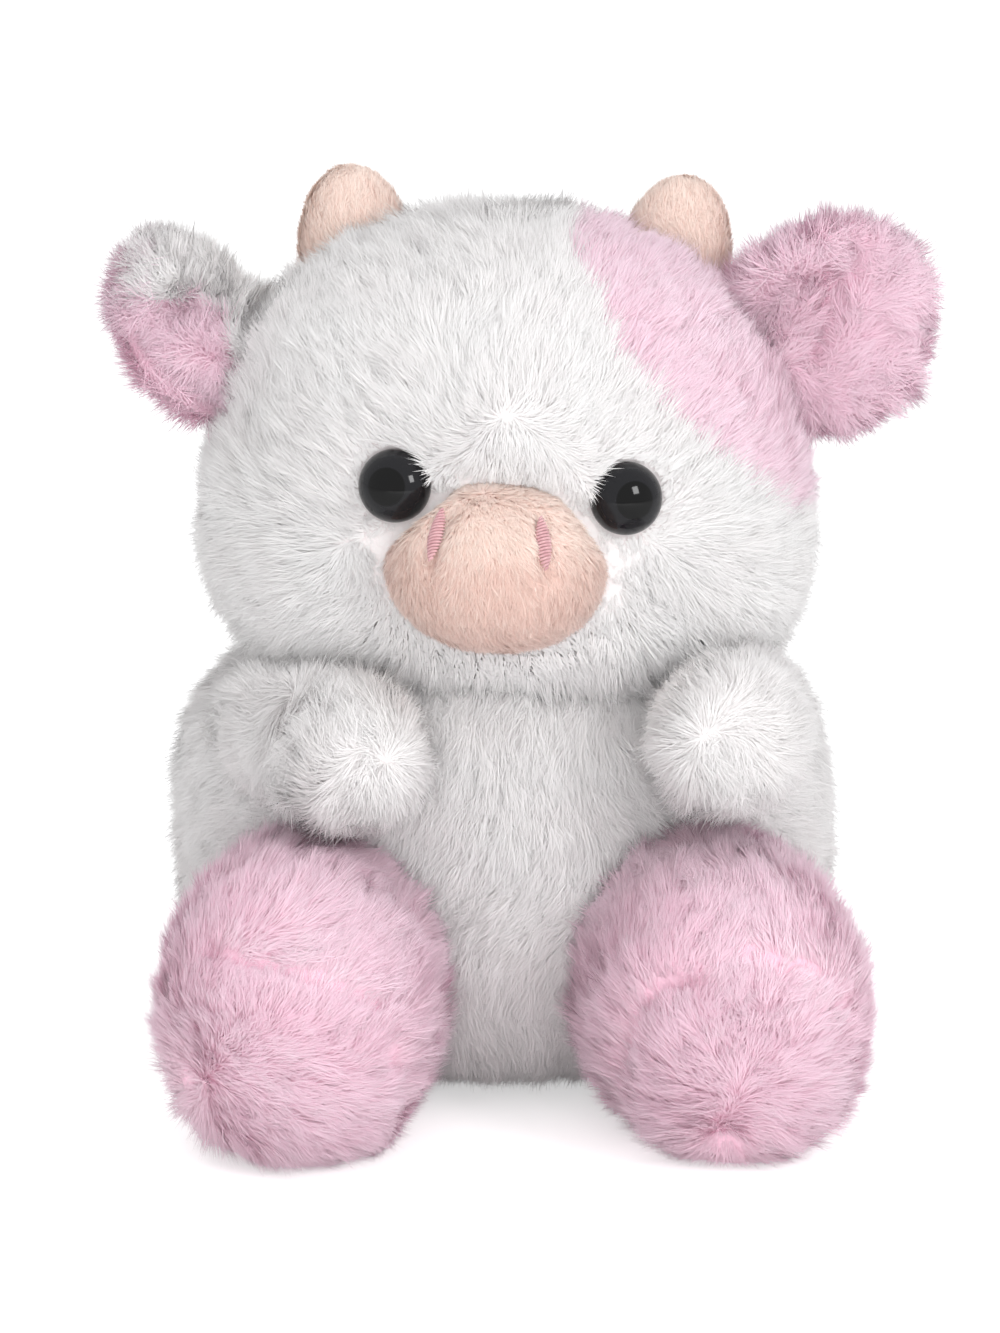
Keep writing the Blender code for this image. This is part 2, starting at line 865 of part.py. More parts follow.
def cupped_slab(way):
    """A slab that covers one side of the ear's middle surface, bent as the ear is cupped."""
    reach = ear_half_width + overrun
    thickness = 2 * (ear_half_thickness + ear_cup + ear_root_radius)
    slab = box(2 * reach, thickness, 4 * (ear_half_length + overrun))
    edges = [edge for edge in slab.edges if abs(edge.verts[0].co.x - edge.verts[1].co.x) > reach]
    bmesh.ops.subdivide_edges(slab, edges=edges, cuts=7, use_grid_fill=True)
    for vertex in slab.verts:
        bend = ear_cup * (vertex.co.x / ear_half_width) ** 2
        vertex.co.y += way * (thickness + seat_gap) / 2 - bend
    return slab


def main():
    """Clears the scene and builds the cow."""
    for item in list(bpy.data.objects):
        bpy.data.objects.remove(item)
    pieces = bpy.data.collections.new("plush_cow")
    cutters = bpy.data.collections.new("cutters")
    bpy.context.scene.collection.children.link(pieces)
    bpy.context.scene.collection.children.link(cutters)
    shop = Workshop(pieces, cutters)
    torso = Torso(shop)
    head = Head(shop, torso)
    head.build_neck()
    build_arms(shop, torso)
    build_legs(shop, torso)
    build_tail(shop, torso)
    torso.build()
    head.build_ears()
    head.build_eyes()
    head.build_muzzle()
    head.build_horns()
    head.build_skins()


main()
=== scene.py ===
"""Dresses a plush cow: long white and pink pile, short peach pile, domed eyes, stitched nostrils.

Metres, +Z up. The cow faces -Y, and left and right are its own, so its left side is at +X.
"""

from __future__ import annotations

import logging
import math
from dataclasses import dataclass, field
from enum import Enum
from typing import Callable, Iterable, Sequence

import bpy
import numpy as np
from mathutils import Matrix, Vector


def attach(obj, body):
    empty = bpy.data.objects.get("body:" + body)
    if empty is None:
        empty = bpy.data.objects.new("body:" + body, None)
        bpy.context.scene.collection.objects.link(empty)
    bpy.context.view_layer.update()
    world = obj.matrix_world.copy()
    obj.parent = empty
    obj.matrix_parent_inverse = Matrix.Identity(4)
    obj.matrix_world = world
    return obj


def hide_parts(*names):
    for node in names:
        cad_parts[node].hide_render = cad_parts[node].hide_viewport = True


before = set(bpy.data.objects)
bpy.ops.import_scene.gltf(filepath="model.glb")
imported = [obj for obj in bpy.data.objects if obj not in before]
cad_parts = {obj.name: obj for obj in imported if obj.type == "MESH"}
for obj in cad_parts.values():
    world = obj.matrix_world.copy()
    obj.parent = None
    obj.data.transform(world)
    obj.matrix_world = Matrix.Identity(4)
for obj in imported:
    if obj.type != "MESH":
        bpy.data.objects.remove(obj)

Array = np.ndarray
Colour = tuple[float, float, float]
Field = Callable[[Array], Array]

LOG = logging.getLogger("plush_cow")
WORLD_DOWN = np.array((0.0, 0.0, -1.0))
BAKE_MAP = "OFBake"
PIECE_TRIANGLES = 190000
FLOOR_GAP = 0.0012
RELIEF_STEP = 0.0004
ROOT_DEPTH = 0.0003


class Side(Enum):
    """The cow's own left and right, as signs of X."""

    LEFT = 1
    RIGHT = -1

    @property
    def label(self) -> str:
        """The side's name in the CAD nodes."""
        return self.name.lower()


class Slot(Enum):
    """The record's material slots that the pieces take their finishes from."""

    WHITE = "white_fur"
    PINK = "pink_fur"
    PEACH = "peach_pile"
    FILLING = "filling"
    PELLETS = "pellets"
    EYE = "eye_black"
    WASHER = "washer_white"
    THREAD = "nostril_thread"


# ---- Arrays ----


def unit(vectors: Array) -> Array:
    """Each vector over its own length."""
    return vectors / np.maximum(np.linalg.norm(vectors, axis=-1, keepdims=True), 1e-12)


def dot(first: Array, second: Array) -> Array:
    """The products of matching vectors, with the last axis kept."""
    return (first * second).sum(-1, keepdims=True)


def flatten(vectors: Array, normals: Array) -> Array:
    """The unit directions that vectors leave in the surface with these normals."""
    return unit(vectors - dot(vectors, normals) * normals)


def bell(distance: Array, spread: float) -> Array:
    """A bell curve of a distance: 1 at 0, falling off over the spread."""
    return np.exp(-0.5 * (distance / spread) ** 2)


def ramp(values: Array, start: float, end: float) -> Array:
    """A smooth step from 0 at start to 1 at end."""
    share = np.clip((values - start) / (end - start), 0, 1)
    return share * share * (3 - 2 * share)


def scatter(cells: Array, seed: int) -> Array:
    """Three even numbers from 0 to 1 for each cell of a 3-D lattice, by integer hashing.

    Args:
        cells: whole lattice coordinates, (count, 3).
        seed: changes every number.

    Returns:
        An array (count, 3).
    """
    whole = cells.astype(np.int64)
    mixed = whole[:, 0] * 73856093 ^ whole[:, 1] * 19349663 ^ whole[:, 2] * 83492791 ^ seed
    numbers = []
    for turn in (2654435761, 2246822519, 3266489917):
        value = (mixed * turn) & 0xFFFFFFFF
        value = ((value ^ (value >> 15)) * 2246822519) & 0xFFFFFFFF
        value = ((value ^ (value >> 13)) * 3266489917) & 0xFFFFFFFF
        numbers.append((value ^ (value >> 16)) / 0xFFFFFFFF)
    return np.stack(numbers, -1)


def locks(spots: Array, size: float, seed: int) -> tuple[Array, Array]:
    """The nearest of the jittered lattice points, one in each cell, and its own three numbers.

    Args:
        spots: positions, (count, 3).
        size: the lattice's cell in metres.
        seed: changes the lattice's jitter.

    Returns:
        The middles of the locks and their random numbers, both (count, 3).
    """
    cell = np.floor(spots / size)
    nearest = np.full(len(spots), np.inf)
    middle = np.zeros_like(spots)
    numbers = np.zeros_like(spots)
    for offset in np.ndindex(3, 3, 3):
        near = cell + np.array(offset) - 1
        jitter = scatter(near, seed)
        centre = (near + jitter) * size
        away = ((centre - spots) ** 2).sum(-1)
        closer = away < nearest
        nearest = np.where(closer, away, nearest)
        middle[closer] = centre[closer]
        numbers[closer] = jitter[closer][:, ::-1]
    return middle, np.modf(numbers * 7.31)[0]


def wander(spots: Array, size: float, seed: int, waves: int = 7) -> Array:
    """Smooth noise from -1 to 1: the mean of sine waves that run in scattered directions.

    Args:
        spots: positions, (..., 3).
        size: about the width of one swell in metres.
        seed: changes the waves.
        waves: how many are added.

    Returns:
        An array (...).
    """
    rng = np.random.default_rng(seed)
    ways = unit(rng.normal(size=(waves, 3))) * rng.uniform(0.6, 1.5, (waves, 1))
    starts = rng.uniform(0, math.tau, waves)
    return np.sin(spots @ ways.T * (math.pi / size) + starts).mean(-1) * 1.9


def swells(spots: Array, size: float, seed: int) -> Array:
    """Smooth noise on each axis, to turn directions slowly."""
    return np.stack([wander(spots, size, seed + axis) for axis in range(3)], -1)


def from_path(spots: Array, path: Array) -> Array:
    """The way to each spot from the nearest place on a path of straight runs.

    On each run the nearest place is at share dot(spot - start, run) / dot(run, run), held
    between 0 and 1, and the nearest run counts.

    Args:
        spots: positions, (..., 3).
        path: its corners, (corners, 3).

    Returns:
        The ways from the path to the spots, (..., 3).
    """
    ways = np.full(spots.shape, 1e3)
    for start, end in zip(path[:-1], path[1:]):
        run = end - start
        share = np.clip((spots - start) @ run / max(run @ run, 1e-12), 0, 1)
        way = spots - start - share[..., None] * run
        closer = (way**2).sum(-1) < (ways**2).sum(-1)
        ways = np.where(closer[..., None], way, ways)
    return ways


def as_array(matrix: Matrix) -> Array:
    """A Blender matrix as a numpy one."""
    return np.array(matrix, dtype=float)


def along(direction: Vector) -> Matrix:
    """The frame at the origin whose Z runs along a direction and whose X stays level."""
    level = Vector((0, 0, 1)).cross(direction).normalized()
    return Matrix((level, direction.cross(level), direction)).transposed().to_4x4()


def lifted(x: float, y: float, z: float) -> Matrix:
    """The frame moved to a place."""
    return Matrix.Translation((x, y, z))


# ---- Forms ----


@dataclass(frozen=True)
class SoftForm:
    """A stuffed form: level ovals that shrink from the widest one to a rounded end each way.

    At latitude up the height is reach * |sin up|^(2/blunt) and the oval's share of the widest
    one is |cos up|^(2/blunt). cup bends the two sides forward by cup * (across/half_width)^2.
    """

    half_width: float
    half_depth: float
    rise: float
    drop: float
    blunt_above: float = 2.0
    blunt_below: float = 2.0
    cup: float = 0.0

    def spots(self, around: Array, up: Array) -> Array:
        """Surface points at angles around from -Y towards +X and at latitudes.

        Args:
            around: angles.
            up: latitudes.

        Returns:
            The points, (..., 3).
        """
        above = up >= 0
        power = 2 / np.where(above, self.blunt_above, self.blunt_below)
        reach = np.where(above, self.rise, -self.drop)
        share = np.abs(np.cos(up)) ** power
        across = self.half_width * share * np.sin(around)
        forward = self.half_depth * share * np.cos(around)
        bend = self.cup * (across / self.half_width) ** 2
        return np.stack((across, -forward - bend, reach * np.abs(np.sin(up)) ** power), -1)

    def parts(self, spots: Array) -> tuple[Array, Array, Array, Array, Array]:
        """Uncups the spots and gives x, y, share of the widest oval, share of height, bluntness.

        Args:
            spots: in the form's frame, (..., 3).

        Returns:
            The five arrays, (...).
        """
        x, z = spots[..., 0], spots[..., 2]
        y = spots[..., 1] + self.cup * (x / self.half_width) ** 2
        blunt = np.where(z >= 0, self.blunt_above, self.blunt_below)
        high = np.abs(z) / np.where(z >= 0, self.rise, self.drop)
        return x, y, np.hypot(x / self.half_width, y / self.half_depth), high, blunt

    def reach(self, spots: Array) -> Array:
        """How far out each spot lies: below 1 is inside the form, 1 is on its surface."""
        _, _, share, high, blunt = self.parts(spots)
        return (share**blunt + high**blunt) ** (1 / blunt)

    def land(self, spots: Array) -> Array:
        """Each spot drawn straight towards the middle until it lies on the surface.

        Args:
            spots: in the form's frame, (..., 3).

        Returns:
            The landed spots, (..., 3).
        """
        x, y, _, _, _ = self.parts(spots)
        straight = np.stack((x, y, spots[..., 2]), -1) / self.reach(spots)[..., None]
        straight[..., 1] -= self.cup * (straight[..., 0] / self.half_width) ** 2
        return straight

    def outward(self, spots: Array) -> Array:
        """The unit normals at surface spots, from the slopes of reach.

        Args:
            spots: in the form's frame, (..., 3).

        Returns:
            The normals, (..., 3).
        """
        x, y, share, high, blunt = self.parts(spots)
        flat = np.maximum(share, 1e-6) ** (blunt - 2)
        slope_x = flat * x / self.half_width**2
        slope_y = flat * y / self.half_depth**2
        slope_x = slope_x + slope_y * 2 * self.cup * x / self.half_width**2
        tall = np.where(spots[..., 2] >= 0, self.rise, -self.drop)
        slope_z = high ** (blunt - 1) / tall
        return unit(np.stack((slope_x, slope_y, slope_z), -1))


@dataclass(frozen=True)
class Crease:
    """A sewn line, fold or pinch: a path near a form's surface in the form's own millimetres.

    depth is how far it pulls the surface in, spread how wide it is, both in millimetres, and
    tone is a painted shade: how much deeper the pile is in it, or paler below 0.
    """

    path: tuple[tuple[float, float, float], ...]
    depth: float
    spread: float
    tone: float = 0.0

    def share(self, form: SoftForm, spots: Array, wider: float = 1.0) -> Array:
        """A bell of the distance from the path, landed on the form: 1 on it, 0 away from it.

        Args:
            form: what it lies on.
            spots: in the form's frame, (..., 3).
            wider: multiplies the spread.

        Returns:
            The bell, (...).
        """
        line = form.land(np.array(self.path) / 1000)
        if len(line) == 1:
            line = np.concatenate((line, line))
        gap = np.linalg.norm(from_path(spots, line), axis=-1)
        return bell(gap, self.spread * wider / 1000)


def pulled(form: SoftForm, creases: Sequence[Crease]) -> Field:
    """The relief that creases give a form: each pulls in by depth times its bell.

    Args:
        form: what the creases lie on.
        creases: that pull it in.

    Returns:
        The relief as a function of places on the form.
    """

    def relief(spots: Array) -> Array:
        """The sum over the creases, outwards in metres.

        Args:
            spots: in the form's frame, (..., 3).

        Returns:
            The sum, (...).
        """
        total = np.zeros(spots.shape[:-1])
        for crease in creases:
            total -= crease.depth / 1000 * crease.share(form, spots)
        return total

    return relief


@dataclass(frozen=True)
class Pelt:
    """A soft form in its place, with its relief in metres outwards at places on the form."""

    form: SoftForm
    place: Array
    relief: Field | None = None
    creases: Sequence[Crease] = ()

    def creased(self, spots: Array) -> Array:
        """How far world spots lie in a sunk crease, from 0 to 1.

        Args:
            spots: in the world, (count, 3).

        Returns:
            The deepest share, (count,).
        """
        local = self.form.land(self.inside(spots))
        sunk = [crease for crease in self.creases if crease.depth > 0]
        shares = [crease.share(self.form, local, 1.2) for crease in sunk]
        return np.max(shares, axis=0) if shares else np.zeros(len(spots))

    def painted_crease_shade(self, spots: Array) -> Array:
        """How much the creases' painted shade deepens the pile at world spots, or makes it paler.

        Args:
            spots: in the world, (count, 3).

        Returns:
            The shift of the tone, (count,).
        """
        local = self.form.land(self.inside(spots))
        tones = [crease.tone * crease.share(self.form, local, 1.3) for crease in self.creases]
        return np.sum(tones, axis=0) if tones else np.zeros(len(spots))

    def inside(self, spots: Array) -> Array:
        """World spots in the form's own frame."""
        turn, shift = self.place[:3, :3], self.place[:3, 3]
        return (spots - shift) @ turn

    def outside(self, spots: Array) -> Array:
        """Spots in the form's frame, in the world."""
        return spots @ self.place[:3, :3].T + self.place[:3, 3]

    def turned(self, vectors: Array) -> Array:
        """Directions in the form's frame, in the world."""
        return vectors @ self.place[:3, :3].T

    def raised(self, spots: Array) -> tuple[Array, Array]:
        """Surface spots moved by the relief, and the normals that the relief tips.

        The normal loses the relief's slope along the surface, measured over a small step.

        Args:
            spots: on the form, in its frame, (..., 3).

        Returns:
            The moved spots and the normals.
        """
        normals = self.form.outward(spots)
        if self.relief is None:
            return spots, normals
        height = self.relief(spots)
        steps = RELIEF_STEP * np.eye(3)
        slope = np.stack(
            [(self.relief(spots + step) - height) / RELIEF_STEP for step in steps], -1
        )
        slope -= dot(slope, normals) * normals
        return spots + height[..., None] * normals, unit(normals - slope)

    def covers(self, spots: Array, margin: float = 0.0) -> Array:
        """Which world spots lie inside the form grown by a margin.

        Args:
            spots: in the world, (count, 3).
            margin: how far it grows, or shrinks below 0.

        Returns:
            A mask, (count,).
        """
        local = self.inside(spots)
        least = min(self.form.half_width, self.form.half_depth)
        return self.form.reach(local) < 1 + margin / least

    def roots(self, density: float, seed: int) -> Array:
        """Evenly scattered surface spots in the form's frame.

        Cells of a grid over the form are picked in step with their areas, and each spot lies
        at a random place in its cell.

        Args:
            density: spots for each square metre.
            seed: of the scatter.

        Returns:
            The spots, (count, 3).
        """
        rng = np.random.default_rng(seed)
        around = np.linspace(-math.pi, math.pi, 121)
        tilt = np.linspace(-math.pi / 2, math.pi / 2, 91)
        grid = self.form.spots(*np.meshgrid(around, tilt))
        first = grid[1:, 1:] - grid[:-1, :-1]
        second = grid[1:, :-1] - grid[:-1, 1:]
        area = 0.5 * np.linalg.norm(np.cross(first, second), axis=-1)
        total = area.sum()
        count = int(total * density)
        place = (np.arange(count) + rng.uniform(size=count)) / count
        cell = np.searchsorted(np.cumsum(area.ravel()) / total, place)
        row, column = np.divmod(np.minimum(cell, area.size - 1), area.shape[1])
        u, v = rng.uniform(size=(2, count))[..., None]
        low = grid[row, column] * (1 - u) + grid[row, column + 1] * u
        high = grid[row + 1, column] * (1 - u) + grid[row + 1, column + 1] * u
        return self.form.land(low * (1 - v) + high * v)


# ---- Meshes ----


def make_object(name: str, points: Array, rings: Iterable[Array]) -> bpy.types.Object:
    """A mesh object from world points and arrays of faces.

    Args:
        name: of the piece.
        points: (count, 3).
        rings: arrays of corner numbers, one (faces, corners) array for each corner count.

    Returns:
        The object, linked to the scene and unturned at the origin.
    """
    rings = [np.asarray(ring, dtype=np.int32) for ring in rings if len(ring)]
    corners = np.concatenate([ring.ravel() for ring in rings])
    totals = np.concatenate([np.full(len(ring), ring.shape[1], np.int32) for ring in rings])
    data = bpy.data.meshes.new(name)
    data.vertices.add(len(points))
    data.vertices.foreach_set("co", np.ascontiguousarray(points, dtype=np.float32).ravel())
    data.loops.add(len(corners))
    data.loops.foreach_set("vertex_index", corners)
    data.polygons.add(len(totals))
    starts = np.concatenate(([0], np.cumsum(totals)[:-1])).astype(np.int32)
    data.polygons.foreach_set("loop_start", starts)
    data.update(calc_edges=True)
    item = bpy.data.objects.new(name, data)
    bpy.context.scene.collection.objects.link(item)
    return item


def set_map(item: bpy.types.Object, pairs: Array) -> None:
    """Writes the UV map BAKE_MAP, one pair for each face corner."""
    layer = item.data.uv_layers.new(name=BAKE_MAP)
    layer.data.foreach_set("uv", np.ascontiguousarray(pairs, dtype=np.float32).ravel())


def set_values(item: bpy.types.Object, name: str, values: Array) -> None:
    """Writes one number for each point of a mesh."""
    layer = item.data.attributes.new(name, "FLOAT", "POINT")
    layer.data.foreach_set("value", np.ascontiguousarray(values, dtype=np.float32).ravel())


def closed_surface(name: str, grid: Array) -> bpy.types.Object:
    """A closed mesh from a grid of rows between two poles, whose columns run once around.

    Args:
        name: of the piece.
        grid: (rows, columns, 3), where the first and the last row are the two poles.

    Returns:
        The object, with its map over columns and rows and faces that point outwards.
    """
    rows, columns = grid.shape[:2]
    points = np.concatenate((grid[0, :1], grid[1:-1].reshape(-1, 3), grid[-1, :1]))
    this = np.arange(columns)
    ahead = (this + 1) % columns
    row = 1 + columns * np.arange(rows - 3)[:, None]
    quads = np.stack((row + this, row + ahead, row + columns + ahead, row + columns + this), -1)
    last = len(points) - 1
    top = last - columns
    base = np.stack((np.zeros_like(this), 1 + ahead, 1 + this), -1)
    crown = np.stack((top + this, top + ahead, np.full_like(this, last)), -1)
    item = make_object(name, points, (quads.reshape(-1, 4), base, crown))
    left, right = this / columns, (this + 1) / columns
    low = np.broadcast_to((np.arange(1, rows - 2) / (rows - 1))[:, None], (rows - 3, columns))
    high = low + 1 / (rows - 1)
    wide = np.broadcast_to(left, low.shape), np.broadcast_to(right, low.shape)
    square = np.stack((wide[0], low, wide[1], low, wide[1], high, wide[0], high), -1)
    half = (left + right) / 2
    first, end = np.full(columns, 1 / (rows - 1)), np.full(columns, 1 - 1 / (rows - 1))
    foot = np.stack((half, 0 * half, right, first, left, first), -1)
    head = np.stack((left, end, right, end, half, 0 * half + 1), -1)
    set_map(item, np.concatenate([part.reshape(-1, 2) for part in (square, foot, head)]))
    return item


def turned_profile(profile: Array, steps: int) -> Array:
    """The grid that a profile of (radius, height) sweeps once about Z, from its last point up.

    Args:
        profile: (count, 2), whose first and last radii are 0.
        steps: places around.

    Returns:
        The grid, (count, steps, 3).
    """
    turn = np.linspace(0, math.tau, steps, endpoint=False)
    radius, height = profile[::-1, :1], profile[::-1, 1:]
    level = np.broadcast_to(height, (len(profile), steps))
    return np.stack((radius * np.cos(turn), radius * np.sin(turn), level), -1)


# ---- Pile ----


@dataclass(frozen=True)
class Coat:
    """How one pile grows. Sizes are in metres, and density is in strands a square metre."""

    density: float
    length: float
    height: float
    width: float
    lock: float
    gather: float = 0.5
    stray: float = 0.6
    roll: float = 0.35
    base: float = 0.0012
    rows: int = 1
    seed: int = 1
    speckle: float = 0.08


@dataclass
class Strands:
    """The pile of one pelt as arrays: middle lines, half-width vectors, normals and tones."""

    line: Array
    side: Array
    normal: Array
    tone: Array

    @property
    def count(self) -> int:
        """How many strands there are."""
        return len(self.line)

    def chosen(self, which: Array) -> Strands:
        """The strands that an index or a mask picks."""
        return Strands(self.line[which], self.side[which], self.normal[which], self.tone[which])


def evenly(value: float) -> Field:
    """The same number at every spot."""
    return lambda spots: np.full(len(spots), value)


@dataclass(frozen=True)
class Combing:
    """How a pile lies on one pelt.

    flow gives the world directions that strands lie in, from world spots: where it is shorter
    than 1, they stand up to half upright. keep says which roots grow. scale and loft multiply the
    length and the height, and tone shifts the shade, which is painted shade or painted light
    where it follows creases or height.
    """

    flow: Field
    keep: Field | None = None
    scale: Field | None = None
    loft: Field | None = None
    tone: Field | None = None


def grow(pelt: Pelt, coat: Coat, combing: Combing, floor: float = 0.0003) -> Strands:
    """Grows a pile on a pelt.

    Each strand runs from its root along the combed direction, turned by slow noise, by its
    lock's own number and by a little of its own. It is landed on the form again at each row,
    then stands off by base + (height - base) * (1 - (1 - s)^1.7) at share s of its length,
    where base is at most 0.4 of its height, and its tip goes part of the way to the middle of
    its lock. Its normals are the surface's, tipped away from the middle of its lock, so that
    each lock shades as a tuft.

    Args:
        pelt: what it grows on.
        coat: its sizes.
        combing: how it lies.
        floor: the lowest that any strand may reach.

    Returns:
        The strands.
    """
    rng = np.random.default_rng(coat.seed)
    local = pelt.roots(coat.density, coat.seed + 11)
    root = pelt.outside(local)
    if combing.keep is not None:
        chosen = combing.keep(root)
        local, root = local[chosen], root[chosen]
    count = len(root)
    _, near = pelt.raised(local)
    normal = pelt.turned(near)
    middle, own = locks(root, coat.lock, coat.seed)
    flow = combing.flow(root)
    lying = 0.5 + 0.5 * np.minimum(np.linalg.norm(flow, axis=-1), 1)
    flow = flatten(flow, normal)
    turn = coat.stray * (0.8 * wander(root, 0.022, coat.seed + 1) + 0.9 * (own[:, 0] - 0.5))
    turn += coat.stray * 0.35 * rng.normal(size=count)
    across = np.cross(normal, flow)
    flow = flow * np.cos(turn)[:, None] + across * np.sin(turn)[:, None]
    scale = (0.78 + 0.44 * own[:, 1]) * rng.uniform(0.75, 1.1, count)
    if combing.scale is not None:
        scale = scale * combing.scale(root)
    loft = np.ones(count) if combing.loft is None else combing.loft(root)
    loft = loft * (0.72 + 0.56 * own[:, 2]) * rng.uniform(0.7, 1.25, count)
    length = coat.length * scale
    height = coat.height * loft * np.minimum(scale, 1.15)
    base = np.minimum(coat.base, 0.4 * height)
    pull = middle - root
    pull -= dot(pull, normal) * normal
    curl = rng.normal(0, 0.10, count) + 0.12 * wander(root, 0.009, coat.seed + 5)
    share = np.linspace(0, 1, coat.rows + 1)
    reach = lying * np.sqrt(np.maximum(length**2 - height**2, (0.3 * length) ** 2))
    lines = []
    normals = []
    for s in share:
        spot = root + flow * (reach * s)[:, None] + pull * (coat.gather * s**1.3)
        spot = spot + np.cross(normal, flow) * (curl * length * s**2)[:, None]
        landed, tipped = pelt.raised(pelt.form.land(pelt.inside(spot)))
        tipped = pelt.turned(tipped)
        rise = base + (height - base) * (1 - (1 - s) ** 1.7) - ROOT_DEPTH
        lines.append(pelt.outside(landed) + tipped * rise[:, None])
        normals.append(tipped)
    line, out = np.stack(lines, 1), np.stack(normals, 1)
    low = floor + 0.0006 * rng.uniform(size=(count, 1))
    line[..., 2] = np.maximum(line[..., 2], low)
    way = unit(np.gradient(line, axis=1))
    side = unit(np.cross(way, out))
    rolled = rng.normal(0, coat.roll * 0.5, count)[:, None, None]
    side = side * np.cos(rolled) + np.cross(side, way) * np.sin(rolled)
    broad = coat.width * 0.5 * (1 - 0.25 * share - 0.75 * share**3) * (share < 1)
    wide = rng.uniform(0.7, 1.3, count)[:, None, None] * broad[None, :, None]
    facing = np.cross(side, way)
    facing *= np.sign(dot(facing, out) + 1e-9)
    lean = -pull / coat.lock
    lean /= np.maximum(np.linalg.norm(lean, axis=-1, keepdims=True), 1.0)
    shade = unit(out + 0.34 * lean[:, None] + 0.12 * facing)
    tone = 0.42 + 0.22 * (own[:, 2] - 0.5) + coat.speckle * rng.normal(size=count)
    tone += 0.16 * wander(root, 0.010, coat.seed + 9)
    if combing.tone is not None:
        tone = tone + combing.tone(root)
    return Strands(line, side * wide, shade, np.clip(tone, 0.01, 0.99))


def weave(name: str, strands: Strands) -> bpy.types.Object:
    """The mesh of a pile: each strand is a blade that narrows to a point.

    Args:
        name: of the piece.
        strands: its pile.

    Returns:
        The object, with the numbers along and tone at its points and on its map.
    """
    count, rows = strands.line.shape[:2]
    left = strands.line[:, :-1] - strands.side[:, :-1]
    right = strands.line[:, :-1] + strands.side[:, :-1]
    pairs = np.stack((left, right), 2).reshape(count, -1, 3)
    points = np.concatenate((pairs, strands.line[:, -1:]), 1)
    normals = np.concatenate(
        (np.repeat(strands.normal[:, :-1], 2, axis=1), strands.normal[:, -1:]), 1
    )
    each = points.shape[1]
    steps = 2 * np.arange(rows - 2)
    quads = np.stack((steps, steps + 1, steps + 3, steps + 2), -1)
    tip = np.array([[each - 3, each - 2, each - 1]])
    starts = each * np.arange(count)[:, None, None]
    quads = (starts + quads).reshape(-1, 4)
    tips = (starts + tip).reshape(-1, 3)
    item = make_object(name, points.reshape(-1, 3), (quads, tips))
    share = np.repeat(np.arange(rows - 1) / (rows - 1), 2)
    share = np.tile(np.append(share, 1.0), count)
    tone = np.repeat(strands.tone, each)
    set_values(item, "along", share)
    set_values(item, "tone", tone)
    corners = np.concatenate((quads.ravel(), tips.ravel()))
    set_map(item, np.stack((tone, 0.02 + 0.96 * share), -1)[corners])
    item.data.normals_split_custom_set_from_vertices(normals.reshape(-1, 3))
    return item


# ---- Finishes ----


def mix_node(tree: bpy.types.NodeTree, kind: str = "RGBA") -> bpy.types.Node:
    """A mix node.

    Args:
        tree: where it goes.
        kind: of what it mixes.

    Returns:
        The node.
    """
    node = tree.nodes.new("ShaderNodeMix")
    node.data_type = kind
    return node


def wire(tree: bpy.types.NodeTree, *pairs: tuple[bpy.types.NodeSocket, ...]) -> None:
    """Links the output of each pair to its input."""
    for output, taker in pairs:
        tree.links.new(output, taker)


def settle(node: bpy.types.Node, values: dict[str, object]) -> None:
    """Sets a node's inputs, and gives each colour its full alpha.

    Args:
        node: whose inputs they are.
        values: what they are set to, by their names.
    """
    for label, value in values.items():
        socket = node.inputs[label]
        socket.default_value = (*value, 1) if socket.type == "RGBA" else value


def clouds(
    tree: bpy.types.NodeTree, scale: float, detail: float, colours: Sequence[Colour]
) -> tuple[bpy.types.Node, bpy.types.Node]:
    """Cloudy noise on Object coordinates that mixes two colours.

    Args:
        tree: where it goes.
        scale: of the noise.
        detail: of the noise.
        colours: the two colours.

    Returns:
        The noise and the mix.
    """
    place = tree.nodes.new("ShaderNodeTexCoord")
    cloud = tree.nodes.new("ShaderNodeTexNoise")
    settle(cloud, {"Scale": scale, "Detail": detail})
    blend = mix_node(tree)
    settle(blend, dict(zip("AB", colours)))
    wire(
        tree,
        (place.outputs["Object"], cloud.inputs["Vector"]),
        (cloud.outputs["Fac"], blend.inputs["Factor"]),
    )
    return cloud, blend


def maths(tree: bpy.types.NodeTree, operation: str, *values: float) -> bpy.types.Node:
    """A maths node with its first values set.

    Args:
        tree: where it goes.
        operation: that it does.
        values: of its first sockets.

    Returns:
        The node.
    """
    node = tree.nodes.new("ShaderNodeMath")
    node.operation = operation
    for socket, value in zip(node.inputs, values):
        socket.default_value = value
    return node


def new_group(name: str, takes: dict[str, object], gives: dict[str, str]) -> bpy.types.NodeTree:
    """An empty shader node group.

    Args:
        name: of the group.
        takes: its inputs: a colour or a number, which is the default.
        gives: its outputs, with their socket types.

    Returns:
        The group, with its input and output nodes.
    """
    tree = bpy.data.node_groups.new(name, "ShaderNodeTree")
    for label, value in takes.items():
        kind = "NodeSocketColor" if isinstance(value, tuple) else "NodeSocketFloat"
        made = tree.interface.new_socket(label, in_out="INPUT", socket_type=kind)
        made.default_value = (*value, 1) if isinstance(value, tuple) else value
    for label, kind in gives.items():
        tree.interface.new_socket(label, in_out="OUTPUT", socket_type=kind)
    tree.nodes.new("NodeGroupInput").name = "in"
    tree.nodes.new("NodeGroupOutput").name = "out"
    return tree


